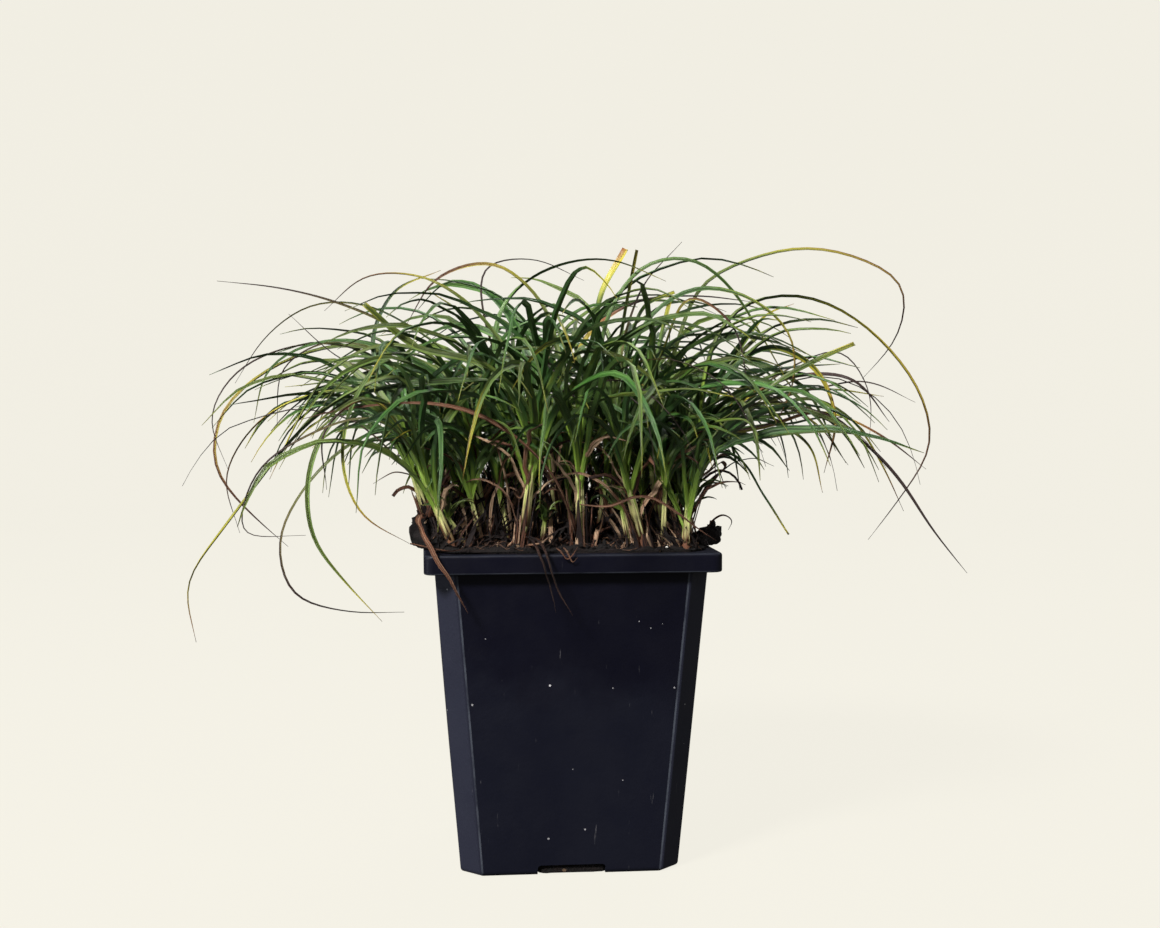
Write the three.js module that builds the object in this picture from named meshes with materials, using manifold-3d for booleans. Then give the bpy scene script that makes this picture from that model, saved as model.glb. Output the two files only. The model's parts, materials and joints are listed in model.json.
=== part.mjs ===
// A carex sedge in its square nursery pot: an evergreen tuft of narrow arching leaves on about
// twenty shoots, with brown sheaths and dead leaves at their feet, rooted in dark potting soil.
// Millimetres, +Z up, +X to the right and -Y to the front. The origin is the middle of the pot's
// underside, which is the flat face that the pot stands on.
import * as THREE from "three";
import { mergeVertices } from "three/addons/utils/BufferGeometryUtils.js";
import Module from "manifold-3d";

const wasm = await Module();
wasm.setup();

// ---- Driving dimensions -------------------------------------------------------------------

const POT_HEIGHT = 100;
const RIM_HALF = 45; // half the rim's outer width
const RIM_DROP = 5.9; // height of the rim's outer band
const RIM_ROUND = 3; // corner radius of the rim
const RIM_EDGE = 0.4; // bevel of the rim's edges
const BODY_HALF_TOP = 41.7; // half the body's width under the rim
const BODY_HALF_BASE = 33.9;
const CHAMFER = 5.7; // leg of the body's four cut corners
const BASE_EDGE = 0.9; // bevel round the underside
const WALL = 1.2;
const FLOOR = 1.6;
const SLOT_WIDTH = 21; // drain slot at the foot of each side
const SLOT_HEIGHT = 3.1;
const SLOT_DEPTH = 9; // how far each slot runs in under the floor
const GAP = 0.35; // air between neighbouring nodes
const FINEST = 0.04; // details smaller than this are smoothed out of a joined piece

const SOIL_LEVEL = 101;
const SOIL_SIDES = 32;
const HOLE_SIDES = 6;

const NECK_SIDES = 6;
const NECK_FOOT_RADIUS = 2.1;
const NECK_TOP_RADIUS = 1.2;
const SHEATH_WALL = 0.8;
const SHEATH_HEIGHT = 13;
const TEAR = 2.5; // half the depth of the tears in a sheath's upper edge

const LEAF_LENGTH = 117;
const LEAF_WIDTH = [1.5, 2.5];
const LEAF_THICKNESS = 0.8; // depth of the keel
const LEAF_STEPS = 5; // straight stretches in a leaf by rule
const COURSE_STEP = 18; // length of one in a leaf that has a course of its own
const LEAF_TURN = THREE.MathUtils.degToRad(137); // three ranks with a slow twist
const OUTWARD = 0.5; // how strongly leaves turn away from the middle of the pot
const DEAD_LENGTH = 30;

const BEND_PASSES = 90;
const BEND_LIMIT = 1.2; // furthest that one pass moves a point
const STIFFNESS = 0.25; // how strongly a leaf goes back to its own curve
const SEED = 41;

// Each shoot: its foot on the soil, how far it leans per unit of height, the height of its neck,
// how deep it is sunk, whether brown sheaths wrap it, and how many leaves grow by rule.
const SHOOTS = {
  s01: { foot: [-43, -16], lean: [-0.32, -0.1], neck: 20, sunk: 5, sheath: true, leaves: 8 },
  s02: { foot: [-36, -34.5], lean: [-0.42, -0.12], neck: 24, sunk: 9, sheath: false, leaves: 9 },
  s03: { foot: [-25, -18], lean: [-0.16, -0.09], neck: 30, sunk: 10, sheath: true, leaves: 11 },
  s04: { foot: [-14, 2], lean: [-0.05, 0], neck: 30, sunk: 10, sheath: false, leaves: 10 },
  s05: { foot: [-15, -33], lean: [0.12, -0.1], neck: 32, sunk: 10, sheath: true, leaves: 8 },
  s06: { foot: [-2, -17], lean: [-0.12, -0.05], neck: 30, sunk: 10, sheath: true, leaves: 9 },
  s07: { foot: [3, -34], lean: [-0.04, -0.08], neck: 30, sunk: 10, sheath: true, leaves: 9 },
  s08: { foot: [13, -14], lean: [0.1, 0], neck: 30, sunk: 10, sheath: true, leaves: 10 },
  s09: { foot: [22, -36], lean: [-0.26, -0.05], neck: 28, sunk: 10, sheath: true, leaves: 9 },
  s10: { foot: [29, -25], lean: [-0.12, 0.05], neck: 30, sunk: 10, sheath: false, leaves: 9 },
  s11: { foot: [35, -36], lean: [0.02, -0.1], neck: 18, sunk: 10, sheath: false, leaves: 6 },
  s12: { foot: [37, -14], lean: [0.2, -0.1], neck: 24, sunk: 10, sheath: true, leaves: 9 },
  s13: { foot: [36, 4], lean: [0.34, 0], neck: 28, sunk: 10, sheath: true, leaves: 9 },
  s14: { foot: [-35, 8], lean: [-0.3, 0.05], neck: 28, sunk: 10, sheath: true, leaves: 9 },
  s15: { foot: [3, 12], lean: [0, 0.04], neck: 32, sunk: 10, sheath: false, leaves: 11 },
  s16: { foot: [21, 14], lean: [0.12, 0.1], neck: 30, sunk: 10, sheath: true, leaves: 11 },
  s17: { foot: [-30, 32], lean: [-0.22, 0.24], neck: 28, sunk: 10, sheath: true, leaves: 12 },
  s18: { foot: [-12, 24], lean: [-0.08, 0.16], neck: 30, sunk: 10, sheath: false, leaves: 12 },
  s19: { foot: [7, 34], lean: [0.05, 0.26], neck: 28, sunk: 10, sheath: true, leaves: 12 },
  s20: { foot: [31, 31], lean: [0.24, 0.22], neck: 28, sunk: 10, sheath: true, leaves: 12 },
};

// Long or oddly bent leaves, each with its own course: shoot, width, points from near the neck to
// the tip. A blunt one is broken off.
const LONG_LEAVES = [
  // left side, from the lowest loops up to the crown
  ["s01", 1.9, [[-53, -22, 148], [-68, -23, 144], [-79, -25, 126], [-78, -27, 104], [-58, -30, 79]]],
  ["s02", 1.5, [[-48, -44, 158], [-60, -45, 154], [-68, -46, 132], [-62, -48, 112], [-49, -48, 104]]],
  ["s02", 2.0, [[-52, -40, 154], [-80, -42, 138], [-98, -43, 115], [-115, -45, 89], [-111, -46, 75]]],
  ["s03", 1.9, [[-43, -30, 159], [-60, -32, 161], [-76, -34, 150], [-91, -40, 121]]],
  ["s06", 2.8, [[-8, -34, 146], [-22, -35, 151], [-52, -38, 150], [-70, -41, 145], [-83, -44, 135]]],
  ["s03", 2.2, [[-34, 0, 152], [-51, 0, 161], [-70, 0, 167], [-92, 0, 158], [-98, 0, 141]]],
  ["s04", 2.0, [[-44, 10, 157], [-75, 10, 162], [-106, 10, 146], [-112, 10, 121], [-88, 10, 97]]],
  ["s14", 1.1, [[-60, 9, 161], [-94, 7, 162], [-110, 4, 148], [-112, 2, 137], [-107, 0, 124]]],
  ["s04", 1.3, [[-38, 0, 163], [-63, 0, 177], [-84, 0, 175], [-100, 0, 160], [-104, 0, 152]]],
  ["s03", 1.1, [[-45, -10, 162], [-61, -10, 172], [-85, -10, 180], [-109, -10, 183]]],
  ["s05", 1.3, [[-15, -30, 157], [-32, -27, 179], [-53, -24, 186], [-68, -22, 181], [-73, -20, 175]]],
  ["s01", 1.8, [[-56, -8, 146], [-61, 2, 165], [-55, 4, 180], [-39, 6, 188]]],
  ["s07", 1.9, [[-3, -32, 150], [-5, -28, 170], [-20, -25, 187], [-40, -22, 184], [-50, -20, 169]]],
  ["s04", 2.8, [[-18, 5, 144], [-28, 3, 168], [-35, 2, 179], [-43, 0, 181]]],
  ["s05", 2.2, [[-15, -44, 145], [-30, -46, 158], [-48, -47, 162], [-62, -48, 174]], "blunt"],
  ["s01", 1.4, [[-62, -8, 147], [-86, -9, 145], [-104, -10, 130], [-106, -11, 117], [-102, -12, 104]]],
  ["s02", 1.4, [[-57, -47, 146], [-70, -48, 143], [-74, -48, 134], [-73, -48, 120]]],
  ["s01", 1.2, [[-58, -14, 138], [-76, -15, 125], [-89, -17, 104], [-82, -18, 83], [-51, -20, 80]]],
  ["s02", 1.0, [[-58, -51, 141], [-86, -51, 131], [-99, -51, 113], [-92, -51, 105], [-79, -51, 107]]],
  ["s03", 1.6, [[-42, -34, 149], [-60, -37, 152], [-85, -40, 150]]],
  ["s14", 1.0, [[-56, -2, 152], [-75, -2, 162], [-87, -2, 173]]],
  ["s14", 1.1, [[-57, 5, 159], [-75, 5, 164], [-90, 5, 156], [-92, 5, 136]]],
  // the crown
  ["s07", 2.5, [[-4, -44, 150], [3, -45, 163], [14, -47, 159], [27, -49, 148], [42, -50, 136]]],
  ["s08", 3.2, [[11, -10, 160], [11, -10, 174], [15, -10, 186], [20, -10, 194]], "blunt"],
  ["s09", 2.0, [[14, -20, 160], [18, -19, 176], [21, -19, 187], [22, -19, 193]], "blunt"],
  ["s05", 2.2, [[-19, -27, 150], [-22, -25, 171], [-8, -23, 186], [12, -21, 190], [31, -20, 183]]],
  ["s07", 2.0, [[9, -22, 154], [14, -20, 176], [30, -20, 191], [50, -20, 182], [71, -20, 150]]],
  ["s09", 1.2, [[20, -4, 168], [31, 0, 190], [39, 0, 197]]],
  ["s08", 2.4, [[20, -15, 158], [25, -14, 175], [30, -14, 184], [35, -15, 180]], "blunt"],
  ["s06", 1.8, [[-1, -8, 150], [8, -2, 168], [30, -1, 180], [63, 0, 178]]],
  ["s18", 1.2, [[-20, 12, 162], [-26, 10, 182], [-16, 10, 194], [9, 10, 185]]],
  ["s10", 2.4, [[27, -16, 142], [30, -15, 160], [34, -14, 178]], "blunt"],
  ["s09", 1.6, [[24, -38, 158], [34, -41, 179], [45, -42, 172], [52, -44, 151]]],
  ["s09", 1.9, [[22, -30, 163], [40, -32, 179], [62, -35, 173], [71, -39, 156], [58, -44, 134]]],
  // right side, from the high arches down
  ["s10", 1.8, [[37, 0, 162], [45, 0, 184], [79, 0, 196], [110, 0, 187], [114, 0, 172], [100, 0, 153]]],
  ["s12", 2.0, [[42, -20, 156], [56, -19, 178], [83, -17, 177], [108, -15, 158], [119, -13, 133], [100, -10, 101]]],
  ["s11", 2.2, [[45, -39, 136], [62, -40, 152], [86, -40, 163]], "blunt"],
  ["s16", 1.8, [[48, 10, 148], [64, 10, 168], [76, 10, 182], [79, 10, 178]]],
  ["s12", 2.8, [[52, -10, 142], [73, -10, 153], [93, -10, 153], [106, -10, 139]]],
  ["s13", 1.1, [[64, 0, 144], [93, 0, 151], [107, 0, 151], [118, 0, 145]]],
  ["s12", 2.2, [[50, -24, 154], [68, -24, 163], [84, -24, 146], [81, -24, 123]]],
  ["s13", 1.6, [[60, -2, 138], [83, -2, 142], [102, -4, 136], [120, -6, 123]]],
  ["s16", 1.7, [[61, 12, 139], [82, 12, 147], [102, 12, 137], [118, 12, 108]]],
  ["s13", 2.6, [[62, 2, 133], [82, -6, 143], [104, -10, 126], [118, -14, 106], [130, -18, 90]]],
  ["s12", 1.6, [[57, -20, 140], [69, -22, 137], [79, -24, 128], [80, -26, 117]]],
  ["s12", 1.5, [[57, -13, 144], [76, -14, 142], [91, -16, 125]]],
  ["s13", 1.5, [[56, -2, 128], [66, -3, 136], [81, -4, 136], [91, -4, 135]]],
  ["s11", 1.7, [[42, -38, 132], [50, -38, 129], [59, -39, 116], [66, -40, 105]], "blunt"],
  ["s16", 1.0, [[70, 20, 149], [90, 20, 163], [107, 20, 155], [108, 20, 129]]],
  ["s16", 2.2, [[60, 17, 141], [83, 17, 150], [112, 17, 147]]],
];

// Dead leaves and root strands that have their own course, each on a shoot's brown sheath.
const DEAD_LEAVES = [
  ["s01", 2.6, [[-47, -34, 110], [-45, -43, 106], [-42, -47, 101], [-38, -47.2, 94], [-32, -47.5, 83]]],
  ["s05", 1.2, [[-13, -40, 104], [-11, -46.4, 101.5], [-8, -47, 92], [-6, -47.3, 83]]],
  ["s05", 1.2, [[-14, -39, 105], [-9, -47.2, 102], [-6.5, -48.5, 92], [-1, -48.5, 82]]],
  ["s07", 2.0, [[-5, -42, 122], [-13, -43, 131], [-27, -43, 141], [-53, -44, 146], [-82, -45, 140]]],
  ["s03", 2.4, [[-32, -24, 124], [-40, -28, 131], [-52, -32, 134]]],
  ["s12", 2.3, [[40, -22, 124], [37, -29, 122], [33, -34, 113]]],
  ["s13", 2.2, [[52, -4, 126], [46, -14, 126], [39, -20, 122]]],
  ["s08", 2.2, [[12, -22, 112], [9, -26, 120], [7, -28, 124]]],
  ["s08", 1.8, [[15, -19, 114], [17, -22, 124], [18, -24, 130]]],
];

// ---- Seeded draws and small vector helpers -------------------------------------------------

// A number from 0 to 1 that depends only on the whole numbers given: a mixed 32-bit hash.
function chance(...keys) {
  let h = SEED;
  for (const key of keys) {
    h = Math.imul(h ^ (key + 0x9e37), 0x85ebca6b);
    h ^= h >>> 13;
    h = Math.imul(h, 0xc2b2ae35);
    h ^= h >>> 16;
  }
  return (h >>> 0) / 4294967296;
}

const between = (low, high, share) => low + (high - low) * share;
const add = (a, b, k = 1) => [a[0] + k * b[0], a[1] + k * b[1], a[2] + k * b[2]];
const sub = (a, b) => [a[0] - b[0], a[1] - b[1], a[2] - b[2]];
const dot = (a, b) => a[0] * b[0] + a[1] * b[1] + a[2] * b[2];
const cross = (a, b) => [
  a[1] * b[2] - a[2] * b[1],
  a[2] * b[0] - a[0] * b[2],
  a[0] * b[1] - a[1] * b[0],
];
const scaled = (a, k) => [a[0] * k, a[1] * k, a[2] * k];
const size = (a) => Math.sqrt(dot(a, a));
const unit = (a) => scaled(a, 1 / (size(a) || 1));
const clamp = (v, low, high) => Math.min(high, Math.max(low, v));

// ---- Surfaces and solids -------------------------------------------------------------------

// Rings of equally many points, one after another, skinned into one closed surface. Each end
// closes on its middle point, or on the given tip, unless the rings form a loop.
function skin(rings, { loop = false, tip = null } = {}) {
  const n = rings[0].length;
  const points = rings.flat();
  const faces = [];
  const last = loop ? rings.length : rings.length - 1;
  for (let r = 0; r < last; r++) {
    for (let i = 0; i < n; i++) {
      const j = (i + 1) % n;
      const a = r * n;
      const b = ((r + 1) % rings.length) * n;
      faces.push(a + i, a + j, b + j, a + i, b + j, b + i);
    }
  }
  if (!loop) {
    const close = (start, middle, flip) => {
      const m = points.push(middle) - 1;
      for (let i = 0; i < n; i++) {
        const j = (i + 1) % n;
        faces.push(...(flip ? [start + j, start + i, m] : [start + i, start + j, m]));
      }
    };
    const middleOf = (ring) => scaled(ring.reduce((s, p) => add(s, p), [0, 0, 0]), 1 / n);
    close(0, middleOf(rings[0]), true);
    close((rings.length - 1) * n, tip ?? middleOf(rings.at(-1)), false);
  }
  const geometry = new THREE.BufferGeometry();
  geometry.setAttribute("position", new THREE.Float32BufferAttribute(points.flat(), 3));
  geometry.setIndex(faces);
  return geometry;
}

function solidOf(geometry) {
  const solid = new wasm.Manifold(
    new wasm.Mesh({
      numProp: 3,
      vertProperties: new Float32Array(geometry.attributes.position.array),
      triVerts: new Uint32Array(geometry.index.array),
    }),
  );
  return solid;
}

// The one main body of a joined solid, without its tiniest edges: a loose scrap is dropped.
function mainBody(solid) {
  return solid.decompose().reduce((a, b) => (b.volume() > a.volume() ? b : a)).simplify(FINEST);
}

function geometryOf(solid) {
  const mesh = solid.getMesh();
  const geometry = new THREE.BufferGeometry();
  geometry.setAttribute("position", new THREE.BufferAttribute(mesh.vertProperties, 3));
  geometry.setIndex(new THREE.BufferAttribute(mesh.triVerts, 1));
  return geometry;
}

// ---- Pot -----------------------------------------------------------------------------------

// One level outline of a square with four points at each corner: a cut corner for "cut", and an
// arc for "round".
function squareRing(half, corner, kind, z) {
  const quarter =
    kind === "cut"
      ? [[0, corner + 0.5], [0.35, corner - 0.35], [corner - 0.35, 0.35], [corner + 0.5, 0]]
      : [0, 30, 60, 90].map((degrees) => {
          const angle = THREE.MathUtils.degToRad(degrees);
          return [corner * (1 - Math.cos(angle)), corner * (1 - Math.sin(angle))];
        });
  const ring = [];
  for (let k = 0; k < 4; k++) {
    const [c, s] = [[1, 0], [0, 1], [-1, 0], [0, -1]][k];
    for (const [inX, inY] of quarter) {
      const [x, y] = [half - inX, half - inY];
      ring.push([c * x - s * y, s * x + c * y, z]);
    }
  }
  return ring;
}

const bodyHalf = (z) => between(BODY_HALF_BASE, BODY_HALF_TOP, z / (POT_HEIGHT - RIM_DROP));

// The wall goes up outside, out under the rim's flange, down and up round its skirt, over the top
// and down inside to the floor.
function potSolid() {
  const underFlange = POT_HEIGHT - WALL;
  const skirtFoot = POT_HEIGHT - RIM_DROP;
  const skirtInside = RIM_HALF - WALL;
  const mouth = bodyHalf(POT_HEIGHT) - WALL;
  const rings = [
    squareRing(BODY_HALF_BASE - BASE_EDGE, CHAMFER, "cut", 0),
    squareRing(bodyHalf(BASE_EDGE), CHAMFER, "cut", BASE_EDGE),
    squareRing(bodyHalf(underFlange), CHAMFER, "cut", underFlange),
    squareRing(skirtInside, RIM_ROUND - WALL, "round", underFlange),
    squareRing(skirtInside, RIM_ROUND - WALL, "round", skirtFoot),
    squareRing(RIM_HALF - RIM_EDGE, RIM_ROUND, "round", skirtFoot),
    squareRing(RIM_HALF, RIM_ROUND, "round", skirtFoot + RIM_EDGE),
    squareRing(RIM_HALF, RIM_ROUND, "round", POT_HEIGHT - RIM_EDGE),
    squareRing(RIM_HALF - RIM_EDGE, RIM_ROUND, "round", POT_HEIGHT),
    squareRing(mouth + RIM_EDGE, CHAMFER, "cut", POT_HEIGHT),
    squareRing(mouth, CHAMFER, "cut", POT_HEIGHT - RIM_EDGE),
    squareRing(bodyHalf(FLOOR) - WALL, CHAMFER, "cut", FLOOR),
  ];
  return [0, 1, 2, 3].reduce((pot, side) => pot.subtract(slotCutter(side)), solidOf(skin(rings)));
}

// A drain slot with round upper corners, pushed in from one side at the pot's foot.
function slotCutter(side) {
  const half = SLOT_WIDTH / 2;
  const round = 1.2;
  const shape = new THREE.Shape();
  shape.moveTo(-half, -1);
  shape.lineTo(half, -1);
  shape.lineTo(half, SLOT_HEIGHT - round);
  shape.absarc(half - round, SLOT_HEIGHT - round, round, 0, Math.PI / 2);
  shape.absarc(-half + round, SLOT_HEIGHT - round, round, Math.PI / 2, Math.PI);
  const cutter = new THREE.ExtrudeGeometry(shape, {
    depth: SLOT_DEPTH + 4,
    bevelEnabled: false,
    curveSegments: 2,
  });
  cutter.rotateX(Math.PI / 2);
  cutter.translate(0, -BODY_HALF_BASE + SLOT_DEPTH, 0);
  cutter.rotateZ((side * Math.PI) / 2);
  return solidOf(merged(cutter));
}

// ---- Soil ----------------------------------------------------------------------------------

// Height of the soil: a low crown, a mound of roots over the left edge, a clod over the right
// edge and small lumps.
function soilTop(x, y) {
  const hill = (cx, cy, rx, ry) => Math.exp(-(((x - cx) / rx) ** 2) - ((y - cy) / ry) ** 2);
  const lumps =
    0.7 * Math.sin(0.55 * x + 1.3) * Math.sin(0.61 * y + 0.4) +
    0.45 * Math.sin(0.93 * x - 0.47 * y) +
    0.35 * Math.sin(1.31 * y + 0.28 * x + 2);
  return (
    SOIL_LEVEL +
    1.6 * (1 - (x * x + y * y) / 1800) +
    8 * hill(-47, -14, 12, 20) +
    4.5 * hill(47, -18, 7, 9) +
    lumps
  );
}

// How far the soil bulges out over the rim in a direction, in degrees from +X.
function overhang(degrees) {
  const bump = (middle, width) => {
    const off = ((degrees - middle + 540) % 360) - 180;
    return Math.exp(-((off / width) ** 2));
  };
  return 9 * bump(197, 24) + 9 * bump(-21, 11);
}

// Distance from the middle to a square outline with cut corners, in one direction.
function reachTo(half, corner, angle) {
  const [c, s] = [Math.abs(Math.cos(angle)), Math.abs(Math.sin(angle))];
  return Math.min(half / Math.max(c, s), (2 * half - corner) / (c + s));
}

// The root ball fills the pot, bulges over the rim in two places and closes on a lumpy top, with
// a plain hole for every shoot.
function soilSolid(shoots) {
  const floor = FLOOR + GAP;
  const shoulder = POT_HEIGHT - RIM_EDGE;
  const inside = (z) => bodyHalf(z) - WALL - GAP;
  const ring = (z, radius) =>
    Array.from({ length: SOIL_SIDES }, (_, i) => {
      const angle = (2 * Math.PI * i) / SOIL_SIDES;
      const r = radius(angle);
      const [x, y] = [r * Math.cos(angle), r * Math.sin(angle)];
      return [x, y, typeof z === "number" ? z : z(x, y, angle)];
    });
  const edge = (angle) => reachTo(inside(shoulder), CHAMFER, angle);
  const over = (angle) => edge(angle) + overhang(THREE.MathUtils.radToDeg(angle));
  const level = POT_HEIGHT + GAP;
  const rings = [
    ring(floor, (a) => reachTo(inside(floor), CHAMFER, a)),
    ring(shoulder, edge),
    ring(level, edge),
    ring(level + 0.05, (a) => over(a) - 0.8),
    ring((x, y) => Math.max(level + 0.5, 0.55 * soilTop(x, y) + 0.45 * level), over),
    ...[0.9, 0.78, 0.63, 0.46, 0.24].map((share) =>
      ring((x, y) => Math.max(level + 0.6, soilTop(x, y)), (a) => over(a) * share),
    ),
  ];
  const ball = solidOf(skin(rings));
  return mainBody(shoots.reduce((soil, shoot) => soil.subtract(holeFor(shoot)), ball));
}

function holeFor(shoot) {
  const radius = shoot.holeRadius;
  const hole = new THREE.CylinderGeometry(radius, radius, shoot.sunk + 14, HOLE_SIDES);
  hole.rotateX(Math.PI / 2);
  hole.translate(shoot.foot[0], shoot.foot[1], shoot.level - shoot.sunk - GAP + shoot.sunk / 2 + 7);
  return solidOf(merged(hole));
}

// ---- Shoots: where their necks stand -------------------------------------------------------

function plantShoots() {
  return Object.entries(SHOOTS).map(([name, plan], index) => {
    const level = soilTop(plan.foot[0], plan.foot[1]);
    const axis = unit([plan.lean[0], plan.lean[1], 1]);
    const holeRadius = (plan.sheath ? NECK_FOOT_RADIUS + GAP + SHEATH_WALL : NECK_FOOT_RADIUS) + GAP + 0.5;
    return { name, index, ...plan, level, axis, holeRadius };
  });
}

// A point on a shoot's neck, upright below the soil and leaning above it.
function neckPoint(shoot, height) {
  const foot = [shoot.foot[0], shoot.foot[1], shoot.level];
  return height < 0 ? add(foot, [0, 0, height]) : add(foot, shoot.axis, height);
}

function neckRing(shoot, height, radius) {
  const middle = neckPoint(shoot, height);
  return Array.from({ length: NECK_SIDES }, (_, i) => {
    const angle = (2 * Math.PI * i) / NECK_SIDES;
    return add(middle, [radius * Math.cos(angle), radius * Math.sin(angle), 0]);
  });
}

const neckRadius = (shoot, height) =>
  between(NECK_FOOT_RADIUS, NECK_TOP_RADIUS, Math.max(0, height) / shoot.neck);

function neckSolid(shoot) {
  const rings = [
    neckRing(shoot, -shoot.sunk, NECK_FOOT_RADIUS),
    neckRing(shoot, 0, NECK_FOOT_RADIUS),
    neckRing(shoot, shoot.neck, NECK_TOP_RADIUS),
  ];
  return solidOf(skin(rings, { tip: neckPoint(shoot, shoot.neck + 5) }));
}

const sheathHeight = (shoot) => (shoot.sheath ? Math.min(SHEATH_HEIGHT, 0.42 * shoot.neck) : 0);

// Brown sheath round the foot of a neck: a tapering collar whose upper edge is torn into points.
function sheathSolid(shoot) {
  const ring = (height, out, torn) => {
    const points = neckRing(shoot, height, neckRadius(shoot, height) + GAP + out);
    return points.map((p, i) => {
      const lift = torn ? (i % 2 ? -1 : 1) * TEAR + chance(shoot.index, i, 71) : 0;
      return add(p, shoot.axis, lift);
    });
  };
  const foot = -Math.min(4, shoot.sunk - 1);
  const top = sheathHeight(shoot);
  const rings = [
    ring(foot, 0, false),
    ring(foot, SHEATH_WALL, false),
    ring(0, SHEATH_WALL, false),
    ring(top, SHEATH_WALL * 0.85, true),
    ring(top, 0, true),
    ring(0, 0, false),
  ];
  return solidOf(skin(rings, { loop: true }));
}

// ---- Leaves: their courses -----------------------------------------------------------------

// A leaf by rule: it leaves the neck close to the neck's own line, then turns over step by step
// from its rise to its fall, both measured from the vertical, and swings a little sideways.
function ruledLeaf(shoot, i) {
  const draw = (low, high, salt) => between(low, high, chance(shoot.index, i, salt));
  const share = i / (shoot.leaves - 1);
  const away = scaled([shoot.foot[0], shoot.foot[1], 0], 1 / RIM_HALF);
  const turn = LEAF_TURN * i + shoot.index * 0.9 + draw(-0.4, 0.4, 1);
  const facing = unit(add([Math.cos(turn), Math.sin(turn), 0], away, OUTWARD));
  const azimuth = Math.atan2(facing[1], facing[0]);
  const swing = draw(-0.5, 0.5, 2);
  const degrees = THREE.MathUtils.degToRad;
  const rise = degrees(between(20, 6, share) + draw(-3, 9, 3));
  const fall = degrees(between(176, 122, share) + draw(-22, 22, 4));
  const edge = Math.min(1, size(away));
  const length = LEAF_LENGTH * between(1.04, 0.8, share) * between(1, 0.79, edge) * draw(0.82, 1.16, 5);
  const lowest = Math.max(0.35 * shoot.neck, sheathHeight(shoot) + TEAR + 1.5);
  const start = between(lowest, 0.98 * shoot.neck, share);
  const points = [add(neckPoint(shoot, start), facing, 0.5 * neckRadius(shoot, start))];
  const step = length / LEAF_STEPS;
  for (let k = 0; k < LEAF_STEPS; k++) {
    const s = (k + 0.5) / LEAF_STEPS;
    const tilt = between(rise, fall, s ** 1.3);
    const heading = azimuth + swing * s;
    const way = [Math.sin(tilt) * Math.cos(heading), Math.sin(tilt) * Math.sin(heading), Math.cos(tilt)];
    const early = Math.max(0, 1 - s / 0.25);
    points.push(add(points.at(-1), unit(add(way, shoot.axis, 0.7 * early)), step));
  }
  return {
    shoot,
    kind: "leaf",
    width: draw(LEAF_WIDTH[0], LEAF_WIDTH[1], 6),
    roll: draw(-0.35, 0.35, 7),
    twist: draw(-1.1, 1.1, 8),
    blunt: chance(shoot.index, i, 9) < 0.06,
    points,
  };
}

// A smooth curve through the given points, cut into equal steps.
function coursePoints(through) {
  const curve = new THREE.CatmullRomCurve3(
    through.map((p) => new THREE.Vector3(...p)),
    false,
    "catmullrom",
    0.5,
  );
  const steps = clamp(Math.round(curve.getLength() / COURSE_STEP), 4, 12);
  return curve.getSpacedPoints(steps).map((p) => p.toArray());
}

function longLeaf(shoots, [name, width, course, end], i) {
  const shoot = shoots.find((s) => s.name === name);
  const start = shoot.neck * between(0.7, 0.92, chance(i, 21));
  const through = [neckPoint(shoot, start), neckPoint(shoot, shoot.neck + 6), ...course];
  return {
    shoot,
    kind: "leaf",
    width,
    roll: between(-0.3, 0.3, chance(i, 22)),
    twist: between(-0.9, 0.9, chance(i, 23)),
    blunt: end === "blunt",
    own: true,
    points: coursePoints(through),
  };
}

function sheathRoot(shoot, height, azimuth) {
  const radius = neckRadius(shoot, height) + GAP + SHEATH_WALL / 2;
  return add(neckPoint(shoot, height), [radius * Math.cos(azimuth), radius * Math.sin(azimuth), 0]);
}

// A dead leaf with its own course, from the wall of its shoot's sheath.
function deadCourse(shoots, [name, width, course], i) {
  const shoot = shoots.find((s) => s.name === name);
  const azimuth = Math.atan2(course[0][1] - shoot.foot[1], course[0][0] - shoot.foot[0]);
  const through = [sheathRoot(shoot, 3, azimuth), ...course];
  return {
    shoot,
    kind: "dead",
    width,
    roll: between(-0.3, 0.3, chance(i, 31)),
    twist: between(-0.7, 0.7, chance(i, 32)),
    blunt: false,
    own: true,
    points: coursePoints(through),
  };
}

// Short dead leaves by rule, two or three on each sheath, that lean out and hang over.
function ruledDeadLeaf(shoot, i) {
  const draw = (low, high, salt) => between(low, high, chance(shoot.index, i, salt));
  const azimuth = 2.3 * i + shoot.index * 1.7 + draw(-0.5, 0.5, 41);
  const points = [sheathRoot(shoot, sheathHeight(shoot) * draw(0.3, 0.6, 42), azimuth)];
  const step = (DEAD_LENGTH * draw(0.7, 1.3, 43)) / LEAF_STEPS;
  const fall = draw(1.2, 2.4, 44);
  for (let k = 0; k < LEAF_STEPS; k++) {
    const s = (k + 0.5) / LEAF_STEPS;
    const tilt = between(0.25, fall, s ** 1.5);
    const heading = azimuth + draw(-0.8, 0.8, 45) * s;
    const way = [Math.sin(tilt) * Math.cos(heading), Math.sin(tilt) * Math.sin(heading), Math.cos(tilt)];
    points.push(add(points.at(-1), way, step));
  }
  return {
    shoot,
    kind: "dead",
    width: draw(1.3, 2.3, 46),
    roll: draw(-0.4, 0.4, 47),
    twist: draw(-1.2, 1.2, 48),
    blunt: chance(shoot.index, i, 49) < 0.4,
    points,
  };
}

// ---- Leaves: their cross-sections ----------------------------------------------------------

// Share of the full width at a share of the length: narrow at the root, widest in the first
// half, then drawn out to a fine tip. A blunt leaf keeps most of its width.
function widthAt(s, blunt) {
  const root = Math.min(1, 0.62 + 1.7 * s);
  return blunt ? root * (1 - 0.25 * s) : root * (1 - s ** 2.6) ** 0.8;
}

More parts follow.
